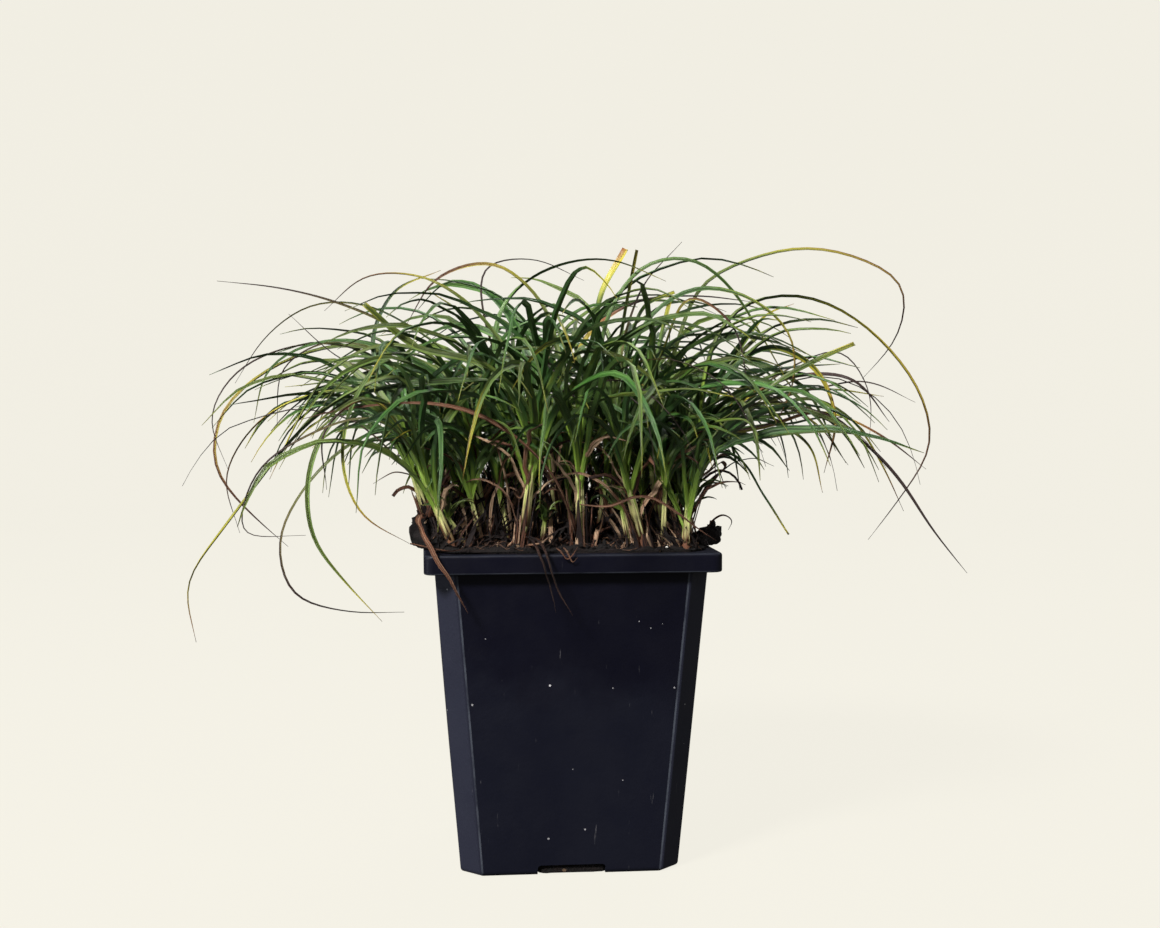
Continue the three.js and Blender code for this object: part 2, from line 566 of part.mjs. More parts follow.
// The way across a leaf and its upper face's way at each point: across is level and square to the
// leaf's reach, turned about the leaf by its roll and twist.
function framesOf(leaf) {
  const { points, roll, twist } = leaf;
  const last = points.length - 1;
  const span = sub(points[last], points[0]);
  const level = unit([-span[1], span[0], 0]);
  return points.map((p, k) => {
    const along = unit(sub(points[Math.min(last, k + 1)], points[Math.max(0, k - 1)]));
    const flat = unit(add(level, along, -dot(level, along)));
    const up = cross(along, flat);
    const angle = roll + (twist * k) / last;
    const across = add(scaled(flat, Math.cos(angle)), up, Math.sin(angle));
    return { across, up: add(scaled(up, Math.cos(angle)), flat, -Math.sin(angle)) };
  });
}

// A leaf as a three-sided blade: two edges and a keel below.
function leafSolid(leaf) {
  const { points, width, blunt } = leaf;
  const last = points.length - 1;
  const frames = framesOf(leaf);
  const rings = [];
  for (let k = 0; k <= (blunt ? last : last - 1); k++) {
    const half = (width / 2) * widthAt(k / last, blunt);
    const depth = LEAF_THICKNESS * (blunt ? 1 : Math.min(1, 1.3 - 0.5 * (k / last)));
    const { across, up } = frames[k];
    const top = add(points[k], up, depth / 2);
    rings.push([add(top, across, half), add(top, across, -half), add(points[k], up, -depth / 2)]);
  }
  return solidOf(skinLeaf(rings, blunt ? null : points[last]));
}

// Three-point rings closed by one face at the root and by a point or one face at the tip.
function skinLeaf(rings, tip) {
  const points = rings.flat();
  const faces = [2, 1, 0];
  for (let r = 0; r + 1 < rings.length; r++) {
    for (let i = 0; i < 3; i++) {
      const [a, b, c, d] = [3 * r + i, 3 * r + ((i + 1) % 3), 3 * r + 3 + ((i + 1) % 3), 3 * r + 3 + i];
      faces.push(a, b, c, a, c, d);
    }
  }
  const end = 3 * (rings.length - 1);
  if (tip) {
    const t = points.push(tip) - 1;
    faces.push(end, end + 1, t, end + 1, end + 2, t, end + 2, end, t);
  } else {
    faces.push(end, end + 1, end + 2);
  }
  const geometry = new THREE.BufferGeometry();
  geometry.setAttribute("position", new THREE.Float32BufferAttribute(points.flat(), 3));
  geometry.setIndex(faces);
  return geometry;
}

// ---- Leaves: bent clear of each other ------------------------------------------------------

// Where two segments come closest: shares along each, and the vector from the second to the first.
function closest(p1, q1, p2, q2) {
  const d1 = sub(q1, p1);
  const d2 = sub(q2, p2);
  const r = sub(p1, p2);
  const a = dot(d1, d1);
  const e = dot(d2, d2);
  const b = dot(d1, d2);
  const c = dot(d1, r);
  const f = dot(d2, r);
  const denominator = a * e - b * b;
  let s = denominator > 1e-9 ? clamp((b * f - c * e) / denominator, 0, 1) : 0.5;
  let t = (b * s + f) / e;
  if (t < 0) {
    t = 0;
    s = clamp(-c / a, 0, 1);
  } else if (t > 1) {
    t = 1;
    s = clamp((b - c) / a, 0, 1);
  }
  return { s, t, between: add(add(r, d1, s), d2, -t) };
}

// All stretches of all leaves and necks, with what each needs to find its contacts. A neck is a
// stretch that can't move.
function stretchesOf(leaves, shoots) {
  const list = [];
  for (const leaf of leaves) {
    const frames = framesOf(leaf);
    const last = leaf.points.length - 1;
    for (let k = 0; k < last; k++) {
      const half = (leaf.width / 2) * widthAt((k + 0.4) / last, leaf.blunt);
      list.push({ leaf, k, p: leaf.points[k], q: leaf.points[k + 1], half, ...frames[k] });
    }
  }
  for (const shoot of shoots) {
    const round = shoot.sheath ? NECK_FOOT_RADIUS + GAP + SHEATH_WALL : NECK_FOOT_RADIUS;
    list.push({ neck: shoot, p: neckPoint(shoot, -2), q: neckPoint(shoot, shoot.neck), round });
  }
  return list;
}

// How far a stretch's own section reaches in a direction.
function sectionReach(stretch, way) {
  if (stretch.neck) return stretch.round;
  const keel = LEAF_THICKNESS / 2;
  return stretch.half * Math.abs(dot(way, stretch.across)) + keel * Math.abs(dot(way, stretch.up));
}

// Stretches of one leaf, roots of one shoot, and a leaf's root by its own neck don't count.
function mayTouch(a, b) {
  if (a.neck && b.neck) return true;
  if (a.neck || b.neck) {
    const [neck, other] = a.neck ? [a.neck, b] : [b.neck, a];
    return other.leaf.shoot === neck && (other.leaf.kind === "leaf" || other.k < 2);
  }
  if (a.leaf === b.leaf) return true;
  return a.leaf.shoot === b.leaf.shoot && Math.min(a.k, b.k) < 1;
}

function* contacts(list, gap) {
  const middles = list.map((t) => scaled(add(t.p, t.q), 0.5));
  const halves = list.map((t) => size(sub(t.q, t.p)) / 2 + (t.round ?? t.half) + gap);
  for (let i = 0; i < list.length; i++) {
    for (let j = i + 1; j < list.length; j++) {
      const reach = halves[i] + halves[j];
      const dx = middles[i][0] - middles[j][0];
      const dy = middles[i][1] - middles[j][1];
      const dz = middles[i][2] - middles[j][2];
      if (dx * dx + dy * dy + dz * dz > reach * reach || mayTouch(list[i], list[j])) continue;
      const [a, b] = [list[i], list[j]];
      const near = closest(a.p, a.q, b.p, b.q);
      const apart = size(near.between);
      const way = apart > 1e-6 ? scaled(near.between, 1 / apart) : [0, 0, 1];
      const short = sectionReach(a, way) + sectionReach(b, way) + gap - apart;
      if (short > 0) yield { a, b, s: near.s, t: near.t, way, short };
    }
  }
}

// Keeps a point above the soil and the rim.
function aboveSoil(p) {
  const clear = RIM_HALF + 1.6;
  if (Math.abs(p[0]) > clear || Math.abs(p[1]) > clear) return p;
  const floor = Math.max(POT_HEIGHT, soilTop(p[0], p[1])) + 1.4;
  return p[2] < floor ? [p[0], p[1], floor] : p;
}

// Pass by pass, leaves that come too close push each other apart, spring back towards their own
// curve, and keep their length.
function bendClear(leaves, shoots) {
  const bow = (points, k) => sub(scaled(add(points[k - 1], points[k + 1]), 0.5), points[k]);
  for (const leaf of leaves) {
    leaf.bows = leaf.points.map((p, k) => (k && k < leaf.points.length - 1 ? bow(leaf.points, k) : null));
    leaf.steps = leaf.points.map((p, k) => (k ? size(sub(p, leaf.points[k - 1])) : 0));
  }
  for (let pass = 0; pass < BEND_PASSES; pass++) {
    for (const leaf of leaves) leaf.push = leaf.points.map(() => [0, 0, 0]);
    const press = (stretch, share, way, amount) => {
      if (stretch.neck) return;
      const { push } = stretch.leaf;
      push[stretch.k] = add(push[stretch.k], way, amount * (1 - share));
      push[stretch.k + 1] = add(push[stretch.k + 1], way, amount * share);
    };
    for (const { a, b, s, t, way, short } of contacts(stretchesOf(leaves, shoots), GAP)) {
      press(a, s, way, 0.6 * short);
      press(b, t, way, -0.6 * short);
    }
    for (const leaf of leaves) settle(leaf, bow);
  }
}

function settle(leaf, bow) {
  const { points, push, bows, steps } = leaf;
  const moved = points.map((p, k) => {
    const long = size(push[k]);
    const pushed = add(p, push[k], long > BEND_LIMIT ? BEND_LIMIT / long : 1);
    return bows[k] ? add(pushed, sub(bow(points, k), bows[k]), STIFFNESS) : pushed;
  });
  for (let k = 1; k < points.length; k++) {
    const step = unit(sub(moved[k], points[k - 1]));
    points[k] = k > 1 || leaf.kind === "leaf" ? add(points[k - 1], step, steps[k]) : moved[k];
    points[k] = aboveSoil(points[k]);
  }
}

// Leaves out, one by one, the leaf with the most contacts left, one grown by rule if there is one.
function dropCrossing(leaves, shoots) {
  for (;;) {
    const count = new Map();
    for (const { a, b } of contacts(stretchesOf(leaves, shoots), 0.02)) {
      if (a.leaf && b.leaf && a.leaf.shoot === b.leaf.shoot && a.leaf.kind === b.leaf.kind) continue;
      for (const { leaf } of [a, b]) {
        if (leaf) count.set(leaf, (count.get(leaf) ?? 0) + (leaf.own ? 0.01 : 1));
      }
    }
    if (!count.size) return leaves;
    const worst = [...count].reduce((a, b) => (b[1] > a[1] ? b : a))[0];
    leaves = leaves.filter((leaf) => leaf !== worst);
  }
}

// ---- The whole plant -----------------------------------------------------------------------

function growLeaves(shoots) {
  const ruled = shoots.flatMap((s) => Array.from({ length: s.leaves }, (_, i) => ruledLeaf(s, i)));
  const long = LONG_LEAVES.map((row, i) => longLeaf(shoots, row, i));
  const sheathed = shoots.filter((s) => s.sheath);
  const dead = DEAD_LEAVES.map((row, i) => deadCourse(shoots, row, i));
  const ruledDead = sheathed.flatMap((s) => [0, 1].map((i) => ruledDeadLeaf(s, i)));
  const leaves = [...ruled, ...long, ...dead, ...ruledDead];
  for (const leaf of leaves) leaf.points = leaf.points.map((p, k) => (k ? aboveSoil(p) : p));
  bendClear(leaves, shoots);
  return dropCrossing(leaves, shoots);
}

function merged(geometry) {
  geometry.deleteAttribute("normal");
  geometry.deleteAttribute("uv");
  return mergeVertices(geometry, 1e-4);
}

const LEAF_GREENS = [0x3f7a34, 0x356d33, 0x4a8538, 0x2f6231, 0x578a3c];
const finish = (color, roughness) => new THREE.MeshStandardMaterial({ color, roughness, metalness: 0 });

const plant = new THREE.Group();
function addPiece(name, solid, material) {
  const mesh = new THREE.Mesh(geometryOf(solid), material);
  mesh.name = name;
  plant.add(mesh);
}

const shoots = plantShoots();
const leaves = growLeaves(shoots);
addPiece("pot", potSolid(), finish(0x17181f, 0.42));
addPiece("soil", soilSolid(shoots), finish(0x1f1713, 0.95));
for (const shoot of shoots) {
  const own = leaves.filter((leaf) => leaf.shoot === shoot);
  const green = own.filter((leaf) => leaf.kind === "leaf").map(leafSolid);
  const tuft = mainBody(green.reduce((whole, leaf) => whole.add(leaf), neckSolid(shoot)));
  addPiece("shoot_" + shoot.name.slice(1), tuft, finish(LEAF_GREENS[shoot.index % LEAF_GREENS.length], 0.45));
  if (!shoot.sheath) continue;
  const dead = own.filter((leaf) => leaf.kind === "dead").map(leafSolid);
  const sheath = mainBody(dead.reduce((whole, leaf) => whole.add(leaf), sheathSolid(shoot)));
  addPiece("sheath_" + shoot.name.slice(1), sheath, finish(0x7a5236, 0.8));
}

export default plant;
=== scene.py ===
"""Carex sedge in its square nursery pot.

A tuft of narrow arching leaves on twenty shoots, with brown sheaths and dead leaves at their feet.
The plant's rules are in millimetres, +Z up and -Y to the front; meshes are in metres.
"""

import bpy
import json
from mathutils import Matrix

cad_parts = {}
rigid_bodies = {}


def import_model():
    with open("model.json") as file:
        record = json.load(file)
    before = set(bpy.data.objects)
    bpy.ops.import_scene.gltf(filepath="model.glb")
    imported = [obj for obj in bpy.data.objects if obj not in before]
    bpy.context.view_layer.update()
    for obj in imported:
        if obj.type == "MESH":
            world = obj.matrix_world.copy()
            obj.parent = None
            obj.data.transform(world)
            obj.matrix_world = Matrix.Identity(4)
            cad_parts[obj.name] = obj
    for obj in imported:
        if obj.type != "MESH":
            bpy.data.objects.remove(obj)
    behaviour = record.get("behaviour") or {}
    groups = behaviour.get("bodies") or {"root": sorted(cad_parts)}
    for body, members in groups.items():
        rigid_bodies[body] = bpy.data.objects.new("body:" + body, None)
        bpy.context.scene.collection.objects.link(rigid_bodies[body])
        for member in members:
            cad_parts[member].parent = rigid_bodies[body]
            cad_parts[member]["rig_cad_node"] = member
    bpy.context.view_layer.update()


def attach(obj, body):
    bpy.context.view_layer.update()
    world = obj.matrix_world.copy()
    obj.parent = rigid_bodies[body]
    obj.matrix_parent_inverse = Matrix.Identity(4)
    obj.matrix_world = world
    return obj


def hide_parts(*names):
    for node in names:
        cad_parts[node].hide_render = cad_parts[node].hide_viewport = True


bl_info = {
    "name": "Carex sedge in a nursery pot",
    "version": (1, 0, 0),
    "blender": (4, 5, 0),
    "location": "3D View > Sidebar > Sedge",
    "description": "Builds a potted sedge: pot, soil, leafy shoots, sheaths, litter and studio",
    "category": "Add Mesh",
}

import json
import math
from types import SimpleNamespace

import bpy
import numpy as np
from mathutils import Vector

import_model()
MM = 0.001

# ---- Plant: where shoots stand and how leaves run (millimetres) ----

POT_HEIGHT, RIM_HALF, SOIL_LEVEL = 100.0, 45.0, 101.0
NECK_FOOT_RADIUS, NECK_TOP_RADIUS = 2.1, 1.2
SHEATH_WALL, SHEATH_HEIGHT, COLLAR_SHARE, TEAR, GAP = 0.8, 13.0, 0.42, 2.5, 0.35
LEAF_LENGTH, LEAF_WIDTH, LEAF_THICKNESS = 117.0, (1.5, 2.5), 0.8
LEAF_STEPS, COURSE_STEP, LEAF_TURN, OUTWARD, DEAD_LENGTH = 5, 18.0, math.radians(137), 0.5, 30.0
BEND_PASSES, BEND_LIMIT, STIFFNESS, LEAF_LIFT = 90, 1.2, 0.25, 1.4
YOUNG_GIRTH, WRAPS, FRONT_ROW, FOOT_LIMIT = 0.62, 13, -26, 37
SEED = 41

# For each shoot: foot x and y, lean in x and y, neck height, sunk, brown sheath, leaves by rule
SHOOTS = [
    (-43, -16, -0.32, -0.1, 20, 5, True, 8),
    (-36, -34.5, -0.42, -0.12, 24, 9, False, 9),
    (-25, -18, -0.16, -0.09, 30, 10, True, 11),
    (-14, 2, -0.05, 0, 30, 10, False, 10),
    (-15, -33, 0.12, -0.1, 32, 10, True, 8),
    (-2, -17, -0.12, -0.05, 30, 10, True, 9),
    (3, -34, -0.04, -0.08, 30, 10, True, 9),
    (13, -14, 0.1, 0, 30, 10, True, 10),
    (22, -36, -0.26, -0.05, 28, 10, True, 9),
    (29, -25, -0.12, 0.05, 30, 10, False, 9),
    (35, -36, 0.02, -0.1, 18, 10, False, 6),
    (37, -14, 0.2, -0.1, 24, 10, True, 9),
    (36, 4, 0.34, 0, 28, 10, True, 9),
    (-35, 8, -0.3, 0.05, 28, 10, True, 9),
    (3, 12, 0, 0.04, 32, 10, False, 11),
    (21, 14, 0.12, 0.1, 30, 10, True, 11),
    (-30, 32, -0.22, 0.24, 28, 10, True, 12),
    (-12, 24, -0.08, 0.16, 30, 10, False, 12),
    (7, 34, 0.05, 0.26, 28, 10, True, 12),
    (31, 31, 0.24, 0.22, 28, 10, True, 12),
]

# Long or oddly bent leaves: shoot from 1, width, how far browned from the tip, 1 where broken off,
# and the points x, y, z of the course from near the neck to the tip.
LONG_LEAVES = [
    (1, 1.9, 0.15, 0, -53, -22, 148, -68, -23, 144, -79, -25, 126, -78, -27, 104, -58, -30, 79),
    (2, 1.5, 0.3, 0, -48, -44, 158, -60, -45, 154, -68, -46, 132, -62, -48, 112, -49, -48, 104),
    (2, 2.0, 0.32, 0, -52, -40, 154, -80, -42, 138, -98, -43, 115, -115, -45, 89, -111, -46, 75),
    (3, 1.9, 0.2, 0, -43, -30, 159, -60, -32, 161, -76, -34, 150, -91, -40, 121),
    (6, 2.8, 0.1, 0, -8, -34, 146, -22, -35, 151, -52, -38, 150, -70, -41, 145, -83, -44, 135),
    (3, 2.2, 0.1, 0, -34, 0, 152, -51, 0, 161, -70, 0, 167, -92, 0, 158, -98, 0, 141),
    (4, 2.0, 0.45, 0, -44, 10, 157, -75, 10, 162, -106, 10, 146, -112, 10, 121, -88, 10, 97),
    (14, 1.1, 0.6, 0, -60, 9, 161, -94, 7, 162, -110, 4, 148, -112, 2, 137, -107, 0, 124),
    (4, 1.3, 0.4, 0, -38, 0, 163, -63, 0, 177, -84, 0, 175, -100, 0, 160, -104, 0, 152),
    (3, 1.1, 0.5, 0, -45, -10, 162, -61, -10, 172, -85, -10, 180, -109, -10, 183),
    (5, 1.3, 0.4, 0, -15, -30, 157, -32, -27, 179, -53, -24, 186, -68, -22, 181, -73, -20, 175),
    (1, 1.8, 0.2, 0, -56, -8, 146, -61, 2, 165, -55, 4, 180, -39, 6, 188),
    (7, 1.9, 0.45, 0, -3, -32, 150, -5, -28, 170, -20, -25, 187, -40, -22, 184, -50, -20, 169),
    (4, 2.8, 0.15, 0, -18, 5, 144, -28, 3, 168, -35, 2, 179, -43, 0, 181),
    (5, 2.2, 0.06, 1, -15, -44, 145, -30, -46, 158, -48, -47, 162, -62, -48, 174),
    (1, 1.4, 0.5, 0, -62, -8, 147, -86, -9, 145, -104, -10, 130, -106, -11, 117, -102, -12, 104),
    (2, 1.4, 0.7, 0, -57, -47, 146, -70, -48, 143, -74, -48, 134, -73, -48, 120),
    (1, 1.2, 0.6, 0, -58, -14, 138, -76, -15, 125, -89, -17, 104, -82, -18, 83, -51, -20, 80),
    (2, 1.0, 0.7, 0, -58, -51, 141, -86, -51, 131, -99, -51, 113, -92, -51, 105, -79, -51, 107),
    (3, 1.6, 0.1, 0, -42, -34, 149, -60, -37, 152, -85, -40, 150),
    (14, 1.0, 0.5, 0, -56, -2, 152, -75, -2, 162, -87, -2, 173),
    (14, 1.1, 0.5, 0, -57, 5, 159, -75, 5, 164, -90, 5, 156, -92, 5, 136),
    (7, 2.5, 0.05, 0, -4, -44, 150, 3, -45, 163, 14, -47, 159, 27, -49, 148, 42, -50, 136),
    (8, 3.2, 0.17, 1, 11, -10, 160, 11, -10, 174, 15, -10, 186, 20, -10, 194),
    (9, 2.0, 0.2, 1, 14, -20, 160, 18, -19, 176, 21, -19, 187, 22, -19, 193),
    (5, 2.2, 0.15, 0, -19, -27, 150, -22, -25, 171, -8, -23, 186, 12, -21, 190, 31, -20, 183),
    (7, 2.0, 0.15, 0, 9, -22, 154, 14, -20, 176, 30, -20, 191, 50, -20, 182, 71, -20, 150),
    (9, 1.2, 0.5, 0, 20, -4, 168, 31, 0, 190, 39, 0, 197),
    (8, 2.4, 0.12, 1, 20, -15, 158, 25, -14, 175, 30, -14, 184, 35, -15, 180),
    (6, 1.8, 0.7, 0, -1, -8, 150, 8, -2, 168, 30, -1, 180, 63, 0, 178),
    (18, 1.2, 0.7, 0, -20, 12, 162, -26, 10, 182, -16, 10, 194, 9, 10, 185),
    (10, 2.4, 0.1, 1, 27, -16, 142, 30, -15, 160, 34, -14, 178),
    (9, 1.6, 0.5, 0, 24, -38, 158, 34, -41, 179, 45, -42, 172, 52, -44, 151),
    (9, 1.9, 0.35, 0, 22, -30, 163, 40, -32, 179, 62, -35, 173, 71, -39, 156, 58, -44, 134),
    (10, 1.8, 0.45, 0, 37, 0, 162, 45, 0, 184, 79, 0, 196, 110, 0, 187, 114, 0, 172, 100, 0, 153),
    (12, 2.0, 0.5, 0, 42, -20, 156, 56, -19, 178, 83, -17, 177, 108, -15, 158, 119, -13, 133,
     100, -10, 101),
    (11, 2.2, 0.1, 1, 45, -39, 136, 62, -40, 152, 86, -40, 163),
    (16, 1.8, 0.2, 0, 48, 10, 148, 64, 10, 168, 76, 10, 182, 79, 10, 178),
    (12, 2.8, 0.75, 0, 52, -10, 142, 73, -10, 153, 93, -10, 153, 106, -10, 139),
    (13, 1.1, 0.6, 0, 64, 0, 144, 93, 0, 151, 107, 0, 151, 118, 0, 145),
    (12, 2.2, 0.4, 0, 50, -24, 154, 68, -24, 163, 84, -24, 146, 81, -24, 123),
    (13, 1.6, 0.5, 0, 60, -2, 138, 83, -2, 142, 102, -4, 136, 120, -6, 123),
    (16, 1.7, 0.3, 0, 61, 12, 139, 82, 12, 147, 102, 12, 137, 118, 12, 108),
    (13, 2.6, 0.9, 0, 62, 2, 133, 82, -6, 143, 104, -10, 126, 118, -14, 106, 130, -18, 90),
    (12, 1.6, 0.3, 0, 57, -20, 140, 69, -22, 137, 79, -24, 128, 80, -26, 117),
    (12, 1.5, 0.4, 0, 57, -13, 144, 76, -14, 142, 91, -16, 125),
    (13, 1.5, 0.35, 0, 56, -2, 128, 66, -3, 136, 81, -4, 136, 91, -4, 135),
    (11, 1.7, 0.1, 1, 42, -38, 132, 50, -38, 129, 59, -39, 116, 66, -40, 105),
    (16, 1.0, 0.6, 0, 70, 20, 149, 90, 20, 163, 107, 20, 155, 108, 20, 129),
    (16, 2.2, 0.15, 0, 60, 17, 141, 83, 17, 150, 112, 17, 147),
]

# Dead leaves and root strands with a course of their own: shoot, width and course.
DEAD_LEAVES = [
    (1, 2.6, -47, -34, 110, -45, -43, 106, -42, -47, 101, -38, -47.2, 94, -32, -47.5, 83),
    (5, 1.2, -13, -40, 104, -11, -46.4, 101.5, -8, -47, 92, -6, -47.3, 83),
    (5, 1.2, -14, -39, 105, -9, -47.2, 102, -6.5, -48.5, 92, -1, -48.5, 82),
    (7, 2.0, -5, -42, 122, -13, -43, 131, -27, -43, 141, -53, -44, 146, -82, -45, 140),
    (3, 2.4, -32, -24, 124, -40, -28, 131, -52, -32, 134),
    (12, 2.3, 40, -22, 124, 37, -29, 122, 33, -34, 113),
    (13, 2.2, 52, -4, 126, 46, -14, 126, 39, -20, 122),
    (8, 2.2, 12, -22, 112, 9, -26, 120, 7, -28, 124),
    (8, 1.8, 15, -19, 114, 17, -22, 124, 18, -24, 130),
]


# ---- Seeded draws and vectors ----


def chance(*keys):
    """A number from 0 to 1 for each row of whole numbers: a mixed 32-bit hash of seed and keys."""
    keys = np.broadcast_arrays(*[np.atleast_1d(k) for k in keys])
    h = np.full(keys[0].shape, SEED, np.uint32)
    for key in keys:
        h = (h ^ (key + 0x9E37).astype(np.uint32)) * np.uint32(0x85EBCA6B)
        h ^= h >> np.uint32(13)
        h *= np.uint32(0xC2B2AE35)
        h ^= h >> np.uint32(16)
    return h / 2.0**32


def between(low, high, share):
    return low + (high - low) * share


def drawer(*keys):
    """A function that draws a number between two limits, by a salt, for each row of the keys."""
    return lambda low, high, salt: between(low, high, chance(*keys, salt))


def smooth(low, high, value):
    """0 below low, 1 above high, and an S-curve between."""
    t = np.clip((value - low) / (high - low), 0.0, 1.0)
    return t * t * (3.0 - 2.0 * t)


def compass(angle, *rest):
    """Level unit ways at these angles, with a height if one is given."""
    return np.stack([np.cos(angle), np.sin(angle), *(rest + 0 * angle for rest in rest)], -1)


def dots(a, b):
    return np.sum(a * b, axis=-1, keepdims=True)


def units(a):
    length = np.sqrt(dots(a, a))
    return a / np.where(length > 0, length, 1.0)


def side_by_side(*parts):
    """Arrays spread to one shape and set side by side as the last axis."""
    return np.stack(np.broadcast_arrays(*parts), -1)


# ---- Shoots and the courses of their leaves ----


def soil_top(x, y):
    """The soil's height: a low crown, a mound at the left edge, a clod at the right edge and small
    lumps of crossed sine waves."""

    def hill(cx, cy, rx, ry):
        return np.exp(-(((x - cx) / rx) ** 2) - ((y - cy) / ry) ** 2)

    bumps = (
        0.7 * np.sin(0.55 * x + 1.3) * np.sin(0.61 * y + 0.4)
        + 0.45 * np.sin(0.93 * x - 0.47 * y)
        + 0.35 * np.sin(1.31 * y + 0.28 * x + 2)
    )
    crown = 1.6 * (1 - (x * x + y * y) / 1800)
    return SOIL_LEVEL + crown + 8 * hill(-47, -14, 12, 20) + 4.5 * hill(47, -18, 7, 9) + bumps


def plant_shoots(rows, girth=1.0):
    """The shoots as arrays: foot on the soil, unit axis, neck height, how deep sunk, sheath."""
    x, y, lean_x, lean_y, neck, sunk, sheath, leaves = np.array(rows, float).T
    foot = np.column_stack([x, y, soil_top(x, y)])
    axis = units(np.column_stack([lean_x, lean_y, np.ones(len(rows))]))
    collar = np.where(sheath, np.minimum(SHEATH_HEIGHT, COLLAR_SHARE * neck), 0.0)
    return SimpleNamespace(
        foot=foot, axis=axis, neck=neck, sunk=sunk, sheath=sheath > 0, collar=collar,
        leaves=leaves.astype(int), girth=np.full(len(rows), girth),
    )


def neck_point(shoots, s, height):
    """A point on the necks of shoots s: upright below the soil and leaning above it."""
    height = np.broadcast_to(height, np.shape(s))[..., None]
    upright = np.array([0.0, 0.0, 1.0])
    return shoots.foot[s] + np.where(height < 0, upright, shoots.axis[s]) * height


def neck_radius(shoots, s, height):
    taper = np.maximum(0, height) / shoots.neck[s]
    return shoots.girth[s] * between(NECK_FOOT_RADIUS, NECK_TOP_RADIUS, taper)


def headed(tilt, heading):
    """Unit ways that lean from the vertical by a tilt towards a heading."""
    side = np.sin(tilt)
    return side_by_side(side * np.cos(heading), side * np.sin(heading), np.cos(tilt))


def walk(start, ways, length):
    """Courses of a length that go on from each start in equal steps: leaves x steps x 3."""
    moves = ways * (length / ways.shape[1])[:, None, None]
    return np.cumsum(np.concatenate([start[:, None], moves], axis=1), axis=1)


def middles(steps):
    """The shares of the length at the middles of so many steps."""
    return (np.arange(steps) + 0.5) / steps


def ruled_leaves(shoots, s, i, share=None, steps=LEAF_STEPS, reach=1.0, wide=LEAF_WIDTH):
    """Leaves by rule: each leaves along its neck's line, turns over from its rise to its fall,
    both from the vertical, and swings a little sideways."""
    draw = drawer(s, i)
    share = i / (shoots.leaves[s] - 1) if share is None else share
    away = shoots.foot[s, :2] / RIM_HALF
    turn = LEAF_TURN * i + s * 0.9 + draw(-0.4, 0.4, 1)
    facing = units(compass(turn) + OUTWARD * away)
    facing = np.column_stack([facing, np.zeros(len(s))])
    azimuth = np.arctan2(facing[:, 1], facing[:, 0])
    swing = draw(-0.5, 0.5, 2)
    rise = np.radians(between(20, 6, share) + draw(-3, 9, 3))
    fall = np.radians(between(176, 122, share) + draw(-22, 22, 4))
    edge = np.minimum(1, np.hypot(away[:, 0], away[:, 1]))
    length = LEAF_LENGTH * between(1.04, 0.8, share) * between(1, 0.79, edge)
    length = length * draw(0.82, 1.16, 5) * reach
    lowest = np.maximum(0.35 * shoots.neck[s], shoots.collar[s] + TEAR + 1.5)
    start = between(lowest, 0.98 * shoots.neck[s], share)
    root = neck_point(shoots, s, start) + facing * 0.5 * neck_radius(shoots, s, start)[:, None]
    k = middles(steps)
    tilt = between(rise[:, None], fall[:, None], k**1.3)
    heading = azimuth[:, None] + swing[:, None] * k
    early = np.maximum(0, 1 - k / 0.25)[None, :, None]
    way = units(headed(tilt, heading) + 0.7 * early * shoots.axis[s][:, None])
    return drawn_blades(walk(root, way, length), s, draw, 6, wide, 0.35, 1.1, 0.06)


def drawn_blades(points, s, draw, salt, wide, roll, twist, blunt, **rest):
    """Blades whose width, roll, twist and bluntness are drawn with four salts in a row."""
    return blades(
        points, s, width=draw(*wide, salt), roll=draw(-roll, roll, salt + 1),
        twist=draw(-twist, twist, salt + 2), blunt=draw(0, 1, salt + 3) < blunt, **rest,
    )


def blades(points, s, width, roll, twist, blunt, dead=False, own=False, count=None, age=0.0):
    """A set of blades as arrays. Points past a blade's own count repeat its last one."""
    n, k = points.shape[:2]
    full = lambda value, kind: np.broadcast_to(np.asarray(value, kind), n).copy()
    return SimpleNamespace(
        points=points, s=full(s, int), width=full(width, float), roll=full(roll, float),
        twist=full(twist, float), blunt=full(blunt, bool), dead=full(dead, bool),
        own=full(own, bool), count=full(k if count is None else count, int), age=full(age, float),
    )


def joined(sets):
    """Several sets of blades as one, padded to the longest course by repeating the last point."""
    most = max(b.points.shape[1] for b in sets)
    pad = [np.pad(b.points, ((0, 0), (0, most - b.points.shape[1]), (0, 0)), "edge") for b in sets]
    merged = {name: np.concatenate([getattr(b, name) for b in sets]) for name in vars(sets[0])
              if name != "points"}
    return SimpleNamespace(points=np.concatenate(pad), **merged)


def picked(b, which):
    return SimpleNamespace(**{name: value[which] for name, value in vars(b).items()})


def bent_between(p0, p1, p2, p3, u):
    """The Catmull-Rom curve of tension one half from p1 to p2, at shares u of the way."""
    t1, t2 = 0.5 * (p2 - p0), 0.5 * (p3 - p1)
    cubic, square = 2 * p1 - 2 * p2 + t1 + t2, 3 * p2 - 3 * p1 - 2 * t1 - t2
    return cubic * u**3 + square * u**2 + t1 * u + p1


def spline(points, t):
    """The curve through points (n x 3), at t from 0 to 1."""
    ends = [2 * points[:1] - points[1:2], points, 2 * points[-1:] - points[-2:-1]]
    p = np.concatenate(ends)
    at = np.clip(t, 0, 1) * (len(points) - 1)
    i = np.minimum(at.astype(int), len(points) - 2)
    return bent_between(p[i], p[i + 1], p[i + 2], p[i + 3], (at - i)[:, None])


